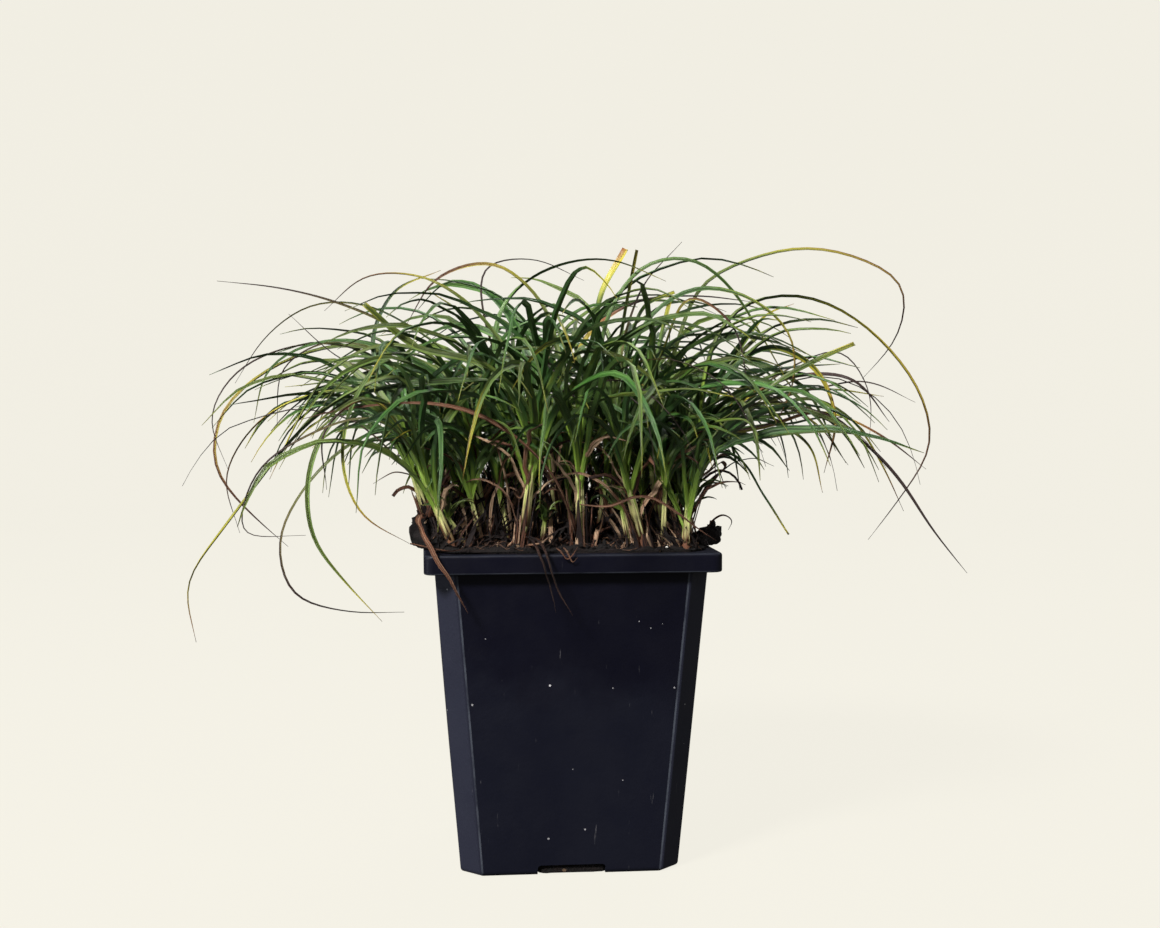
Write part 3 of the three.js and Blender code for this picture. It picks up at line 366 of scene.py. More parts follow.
def spaced(points, step, least=4, most=12):
    """Points at equal distances along the curve through the given ones, about a step apart."""
    t = np.linspace(0, 1, 201)
    lengths = np.linalg.norm(np.diff(spline(points, t), axis=0), axis=1)
    along = np.concatenate([[0], np.cumsum(lengths)])
    steps = int(np.clip(np.floor(along[-1] / step + 0.5), least, most))
    return spline(points, np.interp(np.linspace(0, along[-1], steps + 1), along, t))


def own_courses(courses, step=COURSE_STEP):
    """Separate courses as one padded array, with each one's number of points."""
    lines = [spaced(np.reshape(c, (-1, 3)).astype(float), step) for c in courses]
    count = np.array([len(line) for line in lines])
    pad = [np.pad(line, ((0, count.max() - len(line)), (0, 0)), "edge") for line in lines]
    return np.stack(pad), count


def on_shoots(rows):
    """The rows' numbers and the numbers of their shoots, both from 0."""
    return np.arange(len(rows)), np.array([row[0] for row in rows]) - 1


def long_leaves(shoots):
    i, s = on_shoots(LONG_LEAVES)
    draw = drawer(i)
    roots = neck_point(shoots, s, shoots.neck[s] * draw(0.7, 0.92, 21))
    tops = neck_point(shoots, s, shoots.neck[s] + 6)
    starts = zip(roots, tops, LONG_LEAVES)
    points, count = own_courses([[*r, *t, *row[4:]] for r, t, row in starts])
    width, age, broken = np.array([row[1:4] for row in LONG_LEAVES]).T
    return blades(points, s, width, draw(-0.3, 0.3, 22), draw(-0.9, 0.9, 23), broken, own=True,
                  count=count, age=age)


def sheath_root(shoots, s, height, azimuth):
    radius = neck_radius(shoots, s, height) + GAP + SHEATH_WALL / 2
    return neck_point(shoots, s, height) + radius[:, None] * compass(azimuth, 0)


def dead_leaves(shoots):
    """Dead leaves with courses of their own, then two by rule on each brown sheath, which lean out
    and hang over."""
    i, s = on_shoots(DEAD_LEAVES)
    draw = drawer(i)
    width, x, y = np.array([row[1:4] for row in DEAD_LEAVES]).T
    azimuth = np.arctan2(y - shoots.foot[s, 1], x - shoots.foot[s, 0])
    roots = sheath_root(shoots, s, np.full(len(s), 3.0), azimuth)
    points, count = own_courses([[*r, *row[2:]] for r, row in zip(roots, DEAD_LEAVES)])
    own = blades(points, s, width, draw(-0.3, 0.3, 31), draw(-0.7, 0.7, 32), False, dead=True,
                 own=True, count=count, age=1.0)
    s, i = np.repeat(np.flatnonzero(shoots.sheath), 2), np.tile([0, 1], np.sum(shoots.sheath))
    draw = drawer(s, i)
    azimuth = 2.3 * i + s * 1.7 + draw(-0.5, 0.5, 41)
    root = sheath_root(shoots, s, shoots.collar[s] * draw(0.3, 0.6, 42), azimuth)
    k = middles(LEAF_STEPS)
    tilt = between(0.25, draw(1.2, 2.4, 44)[:, None], k**1.5)
    heading = azimuth[:, None] + draw(-0.8, 0.8, 45)[:, None] * k
    points = walk(root, headed(tilt, heading), DEAD_LENGTH * draw(0.7, 1.3, 43))
    ruled = drawn_blades(points, s, draw, 46, (1.3, 2.3), 0.4, 1.2, 0.4, dead=True, age=1.0)
    return joined([own, ruled])


# ---- Leaves bent clear of each other ----


def width_at(s, blunt):
    """Share of the width at a share s of the length: narrow at the root, widest in the first half,
    then a fine tip. A blunt leaf keeps most of it."""
    root = np.minimum(1, 0.62 + 1.7 * s)
    return root * np.where(blunt, 1 - 0.25 * s, (1 - np.clip(s, 0, 1) ** 2.6) ** 0.8)


def spans(b):
    """From each blade's root to its tip, and the level unit way square to that."""
    span = b.points[np.arange(len(b.width)), b.count - 1] - b.points[:, 0]
    return span, units(side_by_side(-span[:, 1], span[:, 0], 0.0))[:, None]


def frames(b):
    """The ways along, across and up at each point: across is level and square to the leaf's reach,
    turned by its roll and twist."""
    n, k = b.points.shape[:2]
    rows, last = np.arange(n), b.count - 1
    j = np.arange(k)
    after = b.points[rows[:, None], np.minimum(j + 1, last[:, None])]
    before = b.points[rows[:, None], np.minimum(np.maximum(j - 1, 0), last[:, None])]
    along = units(after - before)
    level = spans(b)[1]
    flat = units(level - along * dots(level, along))
    up = np.cross(along, flat)
    angle = (b.roll[:, None] + b.twist[:, None] * j / last[:, None])[..., None]
    across = flat * np.cos(angle) + up * np.sin(angle)
    return along, across, up * np.cos(angle) - flat * np.sin(angle)


def stretches(b, shoots):
    """Every straight stretch of all blades, then every neck: ends, half width, ways, owners."""
    _, across, up = frames(b)
    leaf, k = np.nonzero(np.arange(b.points.shape[1] - 1)[None] < (b.count - 1)[:, None])
    half = b.width[leaf] / 2 * width_at((k + 0.4) / (b.count[leaf] - 1), b.blunt[leaf])
    s = np.arange(len(shoots.neck))
    wide = np.where(shoots.sheath, NECK_FOOT_RADIUS + GAP + SHEATH_WALL, NECK_FOOT_RADIUS)
    none = np.zeros((len(s), 3))
    both = lambda blade, neck: np.concatenate([blade, neck])
    return SimpleNamespace(
        p=both(b.points[leaf, k], neck_point(shoots, s, -2.0)),
        q=both(b.points[leaf, k + 1], neck_point(shoots, s, shoots.neck)),
        half=both(half, wide), across=both(across[leaf, k], none), up=both(up[leaf, k], none),
        leaf=both(leaf, -1 - s), s=both(b.s[leaf], s), k=both(k, 0 * s),
        dead=both(b.dead[leaf], s < 0),
    )


def may_touch(t, i, j):
    """Stretches of one leaf, roots of one shoot, and a leaf by its own neck don't count."""
    a_neck, b_neck = t.leaf[i] < 0, t.leaf[j] < 0
    same = t.s[i] == t.s[j]
    other = np.where(a_neck, j, i)
    by_neck = same & (~t.dead[other] | (t.k[other] < 2))
    roots = same & (np.minimum(t.k[i], t.k[j]) < 1)
    by_leaf = (t.leaf[i] == t.leaf[j]) | roots
    return (a_neck & b_neck) | np.where(a_neck | b_neck, by_neck, by_leaf)


def closest(p1, q1, p2, q2):
    """Where two segments come closest: shares along each, and the vector from second to first."""
    d1, d2, r = q1 - p1, q2 - p2, p1 - p2
    a, e, b, c, f = (dots(x, y)[:, 0] for x, y in ((d1, d1), (d2, d2), (d1, d2), (d1, r), (d2, r)))
    denominator = a * e - b * b
    safe = np.where(denominator > 1e-9, denominator, 1.0)
    s = np.where(denominator > 1e-9, np.clip((b * f - c * e) / safe, 0, 1), 0.5)
    t = (b * s + f) / e
    s = np.where(t < 0, np.clip(-c / a, 0, 1), np.where(t > 1, np.clip((b - c) / a, 0, 1), s))
    t = np.clip(t, 0, 1)
    return s, t, r + d1 * s[:, None] - d2 * t[:, None]


def contacts(t, gap, movable=None):
    """Pairs of stretches nearer than the gap: indexes, shares, way and how much is missing."""
    middle, reach = (t.p + t.q) / 2, np.linalg.norm(t.q - t.p, axis=1) / 2 + t.half + gap
    square = np.sum(middle**2, axis=1)
    apart = square[:, None] + square[None] - 2 * middle @ middle.T
    near = apart <= (reach[:, None] + reach[None]) ** 2
    if movable is not None:
        near &= movable[:, None] | movable[None]
    i, j = np.nonzero(np.triu(near, 1))
    keep = ~may_touch(t, i, j)
    i, j = i[keep], j[keep]
    a, b, way = closest(t.p[i], t.q[i], t.p[j], t.q[j])
    distance = np.linalg.norm(way, axis=1)
    far = distance[:, None]
    way = np.where(far > 1e-6, way / np.maximum(far, 1e-12), [0.0, 0.0, 1.0])

    def section(x):
        blade = t.half[x] * np.abs(dots(way, t.across[x])[:, 0])
        blade += LEAF_THICKNESS / 2 * np.abs(dots(way, t.up[x])[:, 0])
        return np.where(t.leaf[x] < 0, t.half[x], blade)

    short = section(i) + section(j) + gap - distance
    hit = short > 0
    return tuple(x[hit] for x in (i, j, a, b, way, short))


def above_soil(points):
    """Keeps points above the soil and the rim."""
    x, y, z = points[..., 0], points[..., 1], points[..., 2]
    over = np.maximum(np.abs(x), np.abs(y)) <= RIM_HALF + 1.6
    floor = np.maximum(POT_HEIGHT, soil_top(x, y)) + LEAF_LIFT
    raised = np.where(over & (z < floor), floor, z)
    return np.concatenate([points[..., :2], raised[..., None]], -1)


def bend_clear(b, shoots, passes=BEND_PASSES, held=0):
    """Pass by pass, blades that come too close push each other apart, spring back towards their
    own curve and keep their length. The first held ones stay."""
    n, k = b.points.shape[:2]
    p = b.points
    inner = (np.arange(k) > 0) & (np.arange(k) < (b.count - 1)[:, None])
    bow = lambda p: np.pad((p[:, :-2] + p[:, 2:]) / 2 - p[:, 1:-1], ((0, 0), (1, 1), (0, 0)))
    bows, steps = bow(p), np.linalg.norm(np.diff(p, axis=1), axis=2)
    for _ in range(passes):
        t = stretches(b, shoots)
        movable = (t.leaf >= held) if held else None
        i, j, si, sj, way, short = contacts(t, GAP, movable)
        push = np.zeros((n * k, 3))
        for x, share, sign in ((i, si, 0.6), (j, sj, -0.6)):
            leaf = t.leaf[x] >= 0
            at = t.leaf[x][leaf] * k + t.k[x][leaf]
            force = sign * short[leaf, None] * way[leaf]
            np.add.at(push, at, force * (1 - share[leaf, None]))
            np.add.at(push, at + 1, force * share[leaf, None])
        push = push.reshape(n, k, 3)
        long = np.maximum(np.linalg.norm(push, axis=2, keepdims=True), BEND_LIMIT)
        moved = b.points + push * (BEND_LIMIT / long)
        moved += np.where(inner[..., None], (bow(b.points) - bows) * STIFFNESS, 0)
        new = b.points.copy()
        for x in range(1, k):
            kept = new[:, x - 1] + units(moved[:, x] - new[:, x - 1]) * steps[:, x - 1, None]
            free = b.dead & (x == 1)
            line = above_soil(np.where(free[:, None], moved[:, x], kept))
            new[:, x] = np.where((x < b.count)[:, None], line, new[:, x - 1])
        new[:held] = b.points[:held]
        b.points = new
    return b


def without_crossing(b, shoots):
    """Leaves out, one by one, the blade with the most contacts left, by rule if there is one."""
    t = stretches(b, shoots)
    i, j = contacts(t, 0.02)[:2]
    both = (t.leaf[i] >= 0) & (t.leaf[j] >= 0)
    ok = ~(both & (t.s[i] == t.s[j]) & (t.dead[i] == t.dead[j]))
    pairs = np.column_stack([t.leaf[i], t.leaf[j]])[ok]
    dropped = np.zeros(len(b.width), bool)
    while len(pairs):
        flat = pairs[pairs >= 0]
        leaf, first = np.unique(flat, return_index=True)
        score = np.bincount(flat, minlength=len(b.width))[leaf] * np.where(b.own[leaf], 0.01, 1.0)
        best = np.flatnonzero(np.isclose(score, score.max()))
        worst = leaf[best[np.argmin(first[best])]]
        dropped[worst] = True
        pairs = pairs[(pairs != worst).all(1)]
    return picked(b, ~dropped)


def grow(shoots):
    """All blades of the plant, bent clear of each other, without those that still cross."""
    s = np.repeat(np.arange(len(shoots.neck)), shoots.leaves)
    i = np.concatenate([np.arange(n) for n in shoots.leaves])
    b = joined([ruled_leaves(shoots, s, i), long_leaves(shoots), dead_leaves(shoots)])
    b.points[:, 1:] = above_soil(b.points[:, 1:])
    return without_crossing(bend_clear(b, shoots), shoots)


# ---- Surfaces carried along paths, gathered into meshes ----


class Surfaces:
    """Closed surfaces gathered for one piece: points in millimetres, faces, a strip of the bake
    map for each, and what the material reads: place (along, across, side) and kind."""

    def __init__(self):
        self.points, self.faces, self.corners, self.place, self.kind = [], [], [], [], []
        self.slots, self.creases, self.size, self.rows = [], [], 0, 0

    def face(self, corners, u, v, slot):
        """Faces of a slot from their corners' numbers, and each corner's place on the map."""
        self.faces.append(corners.reshape(-1, corners.shape[-1]))
        self.corners.append(side_by_side(u, v).reshape(-1, 2))
        self.slots.append(np.full(len(self.faces[-1]), slot))

    def gather(self, points, place, kind):
        """Points of so many bodies: bodies x any shape x 3, with one kind for each body."""
        n = len(points)
        kind = np.reshape(np.broadcast_to(kind, (n, 3)), (n, *[1] * (points.ndim - 2), 3))
        for label, values in ((self.points, points), (self.place, place), (self.kind, kind)):
            label.append(np.broadcast_to(values, points.shape).reshape(-1, 3))
        self.size += points.size // 3
        self.rows += n

    def sweep(self, points, place=0.0, kind=0.0, caps=None, slot=0, creases=()):
        """Sections carried along paths: points are paths x rings x section x 3, each section
        counter-clockwise against the path. caps lists the faces of the last section, turned over
        for the first: one face if nothing is said."""
        n, rings, section = points.shape[:3]
        caps = [list(range(section))] if caps is None else caps
        at = self.size + np.arange(n * rings * section).reshape(n, rings, section)
        turned = np.roll(at, -1, axis=2)
        row, k, i = np.ogrid[self.rows:self.rows + n, :rings - 1, :section]
        # on the map each body has a strip with a margin, and its caps a dot at the strip's ends
        step = np.array([0, 1, 1, 0])
        across = row[..., None] + 0.04 + 0.92 * (i[..., None] + step) / section
        along = (k[..., None] + np.sort(step)) / (rings - 1)
        quads = np.stack([at[:, :-1], turned[:, :-1], turned[:, 1:], at[:, 1:]], -1)
        self.face(quads, along, across, slot)
        for cap in caps:
            strip = np.tile(self.rows + np.arange(n), 2)[:, None] + 0.5
            turn = np.arange(len(cap))
            u = np.repeat([0.999, 0.001], n)[:, None] + 0.0005 * np.cos(turn)
            v = strip + 0.01 * np.sin(turn)
            self.face(np.concatenate([at[:, -1][:, cap], at[:, 0][:, cap[::-1]]]), u, v, slot)
        for i in creases:
            self.creases.append(np.stack([at[:, :-1, i], at[:, 1:, i]], -1).reshape(-1, 2))
        self.gather(points, place, kind)

    def piece(self, name, materials):
        """One mesh object from all that was gathered, at the origin, in metres."""

        def put(items, label, values, kind):
            items.foreach_set(label, values.astype(kind).ravel())

        mesh = bpy.data.meshes.new(name)
        points = np.concatenate(self.points) * MM
        mesh.vertices.add(len(points))
        put(mesh.vertices, "co", points, np.float32)
        loops = np.concatenate([f.ravel() for f in self.faces])
        sizes = np.concatenate([np.full(len(f), f.shape[1]) for f in self.faces])
        mesh.loops.add(len(loops))
        put(mesh.loops, "vertex_index", loops, np.int32)
        mesh.polygons.add(len(sizes))
        put(mesh.polygons, "loop_start", np.cumsum(sizes) - sizes, np.int32)
        for material in materials:
            mesh.materials.append(material)
        put(mesh.polygons, "material_index", np.concatenate(self.slots), np.int32)
        mesh.update(calc_edges=True)
        put(mesh.polygons, "use_smooth", sizes > 0, bool)
        layer = mesh.uv_layers.new(name="OFBake")
        put(layer.uv, "vector", np.concatenate(self.corners) / [1, self.rows], np.float32)
        for label, values in (("place", self.place), ("kind", self.kind)):
            attribute = mesh.attributes.new(label, "FLOAT_VECTOR", "POINT")
            put(attribute.data, "vector", np.concatenate(values), np.float32)
        if self.creases:
            ends = np.empty(len(mesh.edges) * 2, np.int32)
            mesh.edges.foreach_get("vertices", ends)
            number = lambda ends: np.sort(ends.astype(np.int64), axis=1) @ [len(points), 1]
            sharp = np.isin(number(ends.reshape(-1, 2)), number(np.concatenate(self.creases)))
            attribute = mesh.attributes.new("sharp_edge", "BOOLEAN", "EDGE")
            put(attribute.data, "value", sharp, bool)
        piece = bpy.data.objects.new(name, mesh)
        bpy.context.scene.collection.objects.link(piece)
        return piece


def carried(piece, slot, *nodes):
    """The piece rides on the one body and stands for these nodes. The slot is not used."""
    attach(piece, "root")
    if nodes:
        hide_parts(*nodes)
    return piece


def clear_pieces(*starts):
    """Takes earlier pieces of these names out, so an operator can be run again."""
    for piece in list(bpy.data.objects):
        if piece.name.startswith(starts) and "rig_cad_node" not in piece:
            bpy.data.objects.remove(piece)


# ---- Lumps, strands and blades ----


def lattice_noise(x, y, z, cell, salt):
    """Soft noise from 0 to 1: draws for the corners of cubes, blended across each cube by
    t*t*(3-2t)."""
    place = side_by_side(x, y, z) / cell
    low = np.floor(place).astype(np.int64)
    t = place - low
    t = t * t * (3 - 2 * t)
    total = 0.0
    for bit in np.ndindex(2, 2, 2):
        bit = np.array(bit[::-1])
        value = chance(*np.moveaxis(low + bit, -1, 0), salt)
        total = total + value * np.prod(np.where(bit, t, 1 - t), axis=-1)
    return total


def ground(x, y):
    """The finished soil's height: never under the rim, with crumbs of 4, 2 and 1 mm as noise."""
    layers = ((1.0, 4.1, 501), (0.9, 2.0, 502), (0.6, 1.0, 503))
    crumbs = sum(h * (lattice_noise(x, y, 0 * x, cell, salt) - 0.5) for h, cell, salt in layers)
    return np.maximum(POT_HEIGHT + 0.6, soil_top(x, y)) + crumbs


def turned(vectors, axis, angle):
    """Vectors turned about unit axes by angles, all as arrays (Rodrigues' formula)."""
    c, s = np.cos(angle)[..., None], np.sin(angle)[..., None]
    return vectors * c + np.cross(axis, vectors) * s + axis * dots(axis, vectors) * (1 - c)


def quarter_turned(x, y, z, quarter):
    """Places turned about the vertical by a number of quarter turns."""
    turn = quarter * np.pi / 2
    c, s = np.cos(turn), np.sin(turn)
    return side_by_side(c * x - s * y, s * x + c * y, z)


def strands(out, points, radius, kind, slot=0, sides=4, level=(0, 0, 1), lobes=0.0, twist=0.0):
    """Stalks: a circle of the radius at each path point, wider by lobes * cos(3 * angle) and
    turned by the twist along the path."""
    n, rings = points.shape[:2]
    along = units(np.gradient(points, axis=1))
    side = units(np.cross(along, level))
    up = np.cross(side, along)
    s = np.linspace(0, 1, rings)
    angle = -2 * np.pi * np.arange(sides) / sides
    swell = 1 + lobes * np.cos(3 * (angle[None] + twist * s[:, None]))
    r = np.broadcast_to(radius, (n, rings))[..., None] * swell[None]
    ring = r[..., None] * (
        np.cos(angle)[:, None] * side[:, :, None] + np.sin(angle)[:, None] * up[:, :, None]
    )
    place = side_by_side(s[:, None], np.cos(angle), np.sin(angle))
    out.sweep(points[:, :, None] + ring, place, kind, slot=slot)


def resampled(b, s):
    """Each blade's course as a Catmull-Rom curve through its points, at shares s from 0 to 1."""
    last = (b.count - 1)[:, None]
    at = s[None] * last
    i = np.minimum(at.astype(int), last - 1)
    u = (at - i)[..., None]
    rows = np.arange(len(b.width))[:, None]
    p = b.points
    p1, p2 = p[rows, i], p[rows, i + 1]
    before = np.where((i > 0)[..., None], p[rows, np.maximum(i - 1, 0)], 2 * p1 - p2)
    after = np.where((i + 2 <= last)[..., None], p[rows, np.minimum(i + 2, last)], 2 * p2 - p1)
    return bent_between(before, p1, p2, after, u)


SUNWARD = 0.42


def blade_paths(b, rings, ripple):
    """Fine courses of blades and their frames: the course, rippled across and up by sine waves,
    and the level way across, turned by roll, twist and a little towards the light in front."""
    s = 1 - (1 - np.linspace(0, 1, rings)) ** 1.12
    points = resampled(b, s)
    for _ in range(3):
        points[:, 1:-1] = (points[:, :-2] + 2 * points[:, 1:-1] + points[:, 2:]) / 4
    span, level = spans(b)

    def framed(points):
        along = units(np.gradient(points, axis=1))
        flat = units(level - along * dots(level, along))
        return along, flat, np.cross(along, flat)

    _, flat, up = framed(points)
    key = np.round(b.points[:, 1] * 50).astype(np.int64)
    draw = lambda salt: chance(*key.T, salt)[:, None]

    def wave(salt, turns):
        return np.sin(2 * np.pi * (turns * (0.6 + 0.8 * draw(salt)) * s + draw(salt + 1)))

    calm = (s * (1 - s) * 4)[None] * np.minimum(1, np.linalg.norm(span, axis=1) / 50)[:, None]
    shift = ripple * calm * (wave(511, 2.0) + 0.5 * wave(513, 4.5))
    lift = ripple * calm * (wave(515, 1.6) + 0.5 * wave(517, 3.7))
    points = points + (shift[..., None] * flat + lift[..., None] * up)
    along, flat, up = framed(points)
    sunward = SUNWARD * units(span * [1, 1, 0])[:, :1] * np.minimum(1, 3 * s)
    angle = b.roll[:, None] + b.twist[:, None] * s + 0.45 * wave(519, 1.5) * calm + sunward
    angle = angle[..., None]
    across = flat * np.cos(angle) + up * np.sin(angle)
    return s, points, across, np.cross(along, across)


def add_blades(out, b, rings, slot, fold=0.66, ripple=0.6, keel=0.34, shoots=None, broader=1.16):
    """Folded blades: each ring has four points, the two margins raised by the fold, the groove
    between them and the keel below it. With shoots, each goes on down its neck as a gutter that
    clasps the stem."""
    if not len(b.width):
        return
    s, points, across, up = blade_paths(b, rings, ripple)
    n = len(b.width)
    half = broader * b.width[:, None] / 2 * width_at(s[None], b.blunt[:, None])
    half = np.maximum(half, 0.08)
    along = np.broadcast_to(s, (n, rings))
    fold = fold * np.broadcast_to(1 - 0.45 * s, (n, rings))
    if shoots is not None:
        blade = (points, across, up, half, along, fold)
        foot = clasping(b, shoots, points[:, 0])
        points, across, up, half, along, fold = (np.concatenate(p, 1) for p in zip(foot, blade))
    thick = keel * np.minimum(1.0, 0.45 + 0.55 * half / half.max(axis=1, keepdims=True))
    thick = np.minimum(thick, 1.1 * half)
    side_way = np.array([1.0, 0.0, -1.0, 0.0])
    lift = np.stack([fold * half, -0.04 * half, fold * half, -0.04 * half - thick], -1)
    section = (
        points[:, :, None]
        + (half[..., None] * side_way)[..., None] * across[:, :, None]
        + lift[..., None] * up[:, :, None]
    )
    place = side_by_side(along[..., None], side_way, [0.0, 1.0, 0.0, -1.0])
    out.sweep(section, place, b.kind, slot=slot, creases=(0, 1, 2, 3))


def clasping(b, shoots, root):
    """The foot of blades that clasp their neck, on its surface at the side that the blade reaches
    to: points, ways across and up, half widths, places along and folds."""
    foot, axis = shoots.foot[b.s], shoots.axis[b.s]
    height = dots(root - foot, axis)
    out = units(spans(b)[0] * [1, 1, 0])
    h = np.maximum(height * np.array([0.2, 0.45, 0.68, 0.86]), 0.4)
    girth = neck_radius(shoots, b.s[:, None], h)
    points = foot[:, None] + axis[:, None] * h[..., None]
    points = points + out[:, None] * (0.62 * girth)[..., None]
    across = np.broadcast_to(units(np.cross(-out, axis))[:, None], points.shape)
    along, fold = ([-0.3, -0.2, -0.12, -0.05], [0.8, 0.8, 0.75, 0.6])
    return (points, across, np.broadcast_to(-out[:, None], points.shape), 0.55 * girth,
            np.broadcast_to(along, h.shape), np.broadcast_to(fold, h.shape))


# ---- Pot ----

RIM_DROP, RIM_ROUND, CHAMFER, WALL, FLOOR = 5.9, 3.0, 5.7, 1.2, 1.6
BODY_HALF_TOP, BODY_HALF_BASE, SHARP_FROM = 41.7, 33.9, math.radians(35)
SLOT_WIDTH, SLOT_HEIGHT, SLOT_DEPTH = 21.0, 3.1, 9.0


def body_half(z):
    return between(BODY_HALF_BASE, BODY_HALF_TOP, z / (POT_HEIGHT - RIM_DROP))


def filleted(corners, radii, steps):
    """A line through corners (x, y), each rounded by an arc that leaves the lines at radius *
    tan(half the turn) from the corner, and the number of the corner each point belongs to."""
    corners = np.array(corners, float)
    before = units(corners[:-2] - corners[1:-1])
    after = units(corners[2:] - corners[1:-1])
    turn = np.pi - np.arccos(np.clip(dots(before, after), -1, 1))
    radius = np.array(radii, float)[:, None]
    start = corners[1:-1] + before * radius * np.tan(turn / 2)
    middle = corners[1:-1] + units(before + after) * radius / np.cos(turn / 2)
    spoke = start - middle
    hand = np.sign(before[:, :1] * after[:, 1:] - before[:, 1:] * after[:, :1])
    angle = -hand * turn * np.linspace(0, 1, steps + 1)
    c, s = np.cos(angle), np.sin(angle)
    x = middle[:, :1] + c * spoke[:, :1] - s * spoke[:, 1:]
    y = middle[:, 1:] + s * spoke[:, :1] + c * spoke[:, 1:]
    number = np.repeat(np.arange(len(radii)), steps + 1)
    return np.column_stack([x.ravel(), y.ravel()]), number


def cut_quarter(half, softness):
    """One corner of a square cut at 45 degrees, both ends of the cut rounded, with a point beside
    each arc so that the flats shade flat."""
    line, _ = filleted(
        [(half, half - 2 * CHAMFER), (half, half - CHAMFER), (half - CHAMFER, half),
         (half - 2 * CHAMFER, half)], [softness, softness], 5,
    )
    way = (line[6] - line[5]) / np.linalg.norm(line[6] - line[5])
    beside = np.array([line[5] + 0.4 * way, line[6] - 0.4 * way])
    line = np.concatenate([line[:6], beside, line[6:]])
    return np.concatenate([[line[0] - [0, 0.5]], line, [line[-1] - [0.5, 0]]])


def round_quarter(half, radius):
    """One rounded corner of a square with as many points as the cut one has."""
    angle = np.linspace(0, np.pi / 2, 14)
    line = half - radius + radius * compass(angle)
    return np.concatenate([[[half, half - radius - 0.5]], line, [[half - radius - 0.5, half]]])


def square_ring(half, corner, cut, z, softness):
    """A level ring of the pot: a quarter and a flat with seven points, turned by quarter turns."""
    quarter = cut_quarter(half, softness) if cut else round_quarter(half, corner)
    share = np.arange(1, 8)[:, None] / 8
    flat = between(quarter[-1:], np.array([[-quarter[0, 1], quarter[0, 0]]]), share)
    quarter = np.concatenate([quarter, flat])
    return quarter_turned(*quarter.T, z, np.arange(4)[:, None]).reshape(-1, 3)


def pot_rings(edge, softness):
    """Rings of the pot from the middle of its underside up outside, round the rim and down inside:
    a profile of half width and height with rounded corners. Long parts get a ring close to each
    end, so that they shade flat, and bow by a cosine."""
    under, skirt = POT_HEIGHT - WALL, POT_HEIGHT - RIM_DROP
    skirt_in, mouth = RIM_HALF - WALL, body_half(POT_HEIGHT) - WALL
    # half width, height, rounding, corner radius of the ring or 0 where the corners are cut
    corners = [
        (12.0, 0.0, 0.0, 0.0),
        (BODY_HALF_BASE, 0.0, 1.1, 0.0),
        (body_half(under), under, 0.25, 0.0),
        (skirt_in, under, 0.25, RIM_ROUND - WALL),
        (skirt_in, skirt, 0.25, RIM_ROUND - WALL),
        (RIM_HALF, skirt, 0.45, RIM_ROUND),
        (RIM_HALF, POT_HEIGHT, 0.6, RIM_ROUND),
        (mouth, POT_HEIGHT, 0.4, 0.0),
        (body_half(FLOOR) - WALL, FLOOR, 0.6, 0.0),
        (12.0, FLOOR, 0.0, 0.0),
    ]
    line, number = filleted([c[:2] for c in corners], [c[2] * edge for c in corners[1:-1]], 4)
    radii = [corners[i + 1][3] for i in number]
    plain = [square_ring(h, r, r == 0.0, z, softness) for (h, z), r in zip(line, radii)]
    plain = [plain[0] * [0.3, 0.3, 1], *plain, plain[-1] * [0.3, 0.3, 1]]
    rings = plain[:1]
    for low, high in zip(plain[:-1], plain[1:]):
        longest = np.linalg.norm(high - low, axis=1).max()
        if longest > 3:
            inner = np.arange(1, 8) / 8 if longest > 60 else []
            rings += [between(low, high, f) for f in (0.4 / longest, *inner, 1 - 0.4 / longest)]
        rings.append(high)
    rings = np.array(rings)
    x, y, z = (rings[..., i].copy() for i in range(3))
    least, most = np.minimum(np.abs(x), np.abs(y)), np.maximum(np.abs(x), np.abs(y))
    bow = 0.3 * np.sin(np.pi * np.clip(z / skirt, 0, 1))
    bow = np.where(most > 30, bow * np.cos(np.pi * np.minimum(least, 35) / 70), 0.0)
    rings[..., 0] += bow * np.sign(x) * (np.abs(x) >= np.abs(y))
    rings[..., 1] += bow * np.sign(y) * (np.abs(y) > np.abs(x))
    return rings


def slot_cutter(side):
    """A bar with rounded upper corners, pushed in from one side at the pot's foot."""
    half, top = SLOT_WIDTH / 2, SLOT_HEIGHT
    line, _ = filleted([(half, -3), (half, top), (-half, top), (-half, -3)], [1.2, 1.2], 6)
    section = np.concatenate([[[half, -1]], line, [[-half, -1]]])
    depth = np.array([-BODY_HALF_BASE - 4, -BODY_HALF_BASE + SLOT_DEPTH])
    return quarter_turned(section[:, 0], depth[:, None], section[:, 1], side)


def build_pot(settings, material):
    """The pot with its four drain slots cut out, as one closed shell."""
    rings = pot_rings(settings.edge_rounding * 1000 / 0.6, settings.corner_softness * 1000)
    shell = Surfaces()
    shell.sweep(rings[None])
    pot = shell.piece("pot_shell", [material])
    cutters = Surfaces()
    for side in range(4):
        # reversed, so that the section runs counter-clockwise against its path
        cutters.sweep(slot_cutter(side)[None, :, ::-1])
    tool = cutters.piece("slot_cutter", [])
    cut = pot.modifiers.new("slots", "BOOLEAN")
    cut.operation, cut.object, cut.solver = "DIFFERENCE", tool, "EXACT"
    graph = bpy.context.evaluated_depsgraph_get()
    mesh = bpy.data.meshes.new_from_object(pot.evaluated_get(graph))
    pot.modifiers.clear()
    pot.data = mesh
    bpy.data.objects.remove(tool)
    mesh.set_sharp_from_angle(angle=SHARP_FROM)
    return carried(pot, "pot_plastic", "pot")


# ---- Soil ----


def overhang(angle):
    """How far the soil bulges out over the rim: two bell-shaped bumps round the compass."""

    def bump(middle, width):
        off = (np.degrees(angle) - middle + 540) % 360 - 180
        return np.exp(-((off / width) ** 2))

    return 9 * bump(197, 24) + 9 * bump(-21, 11)


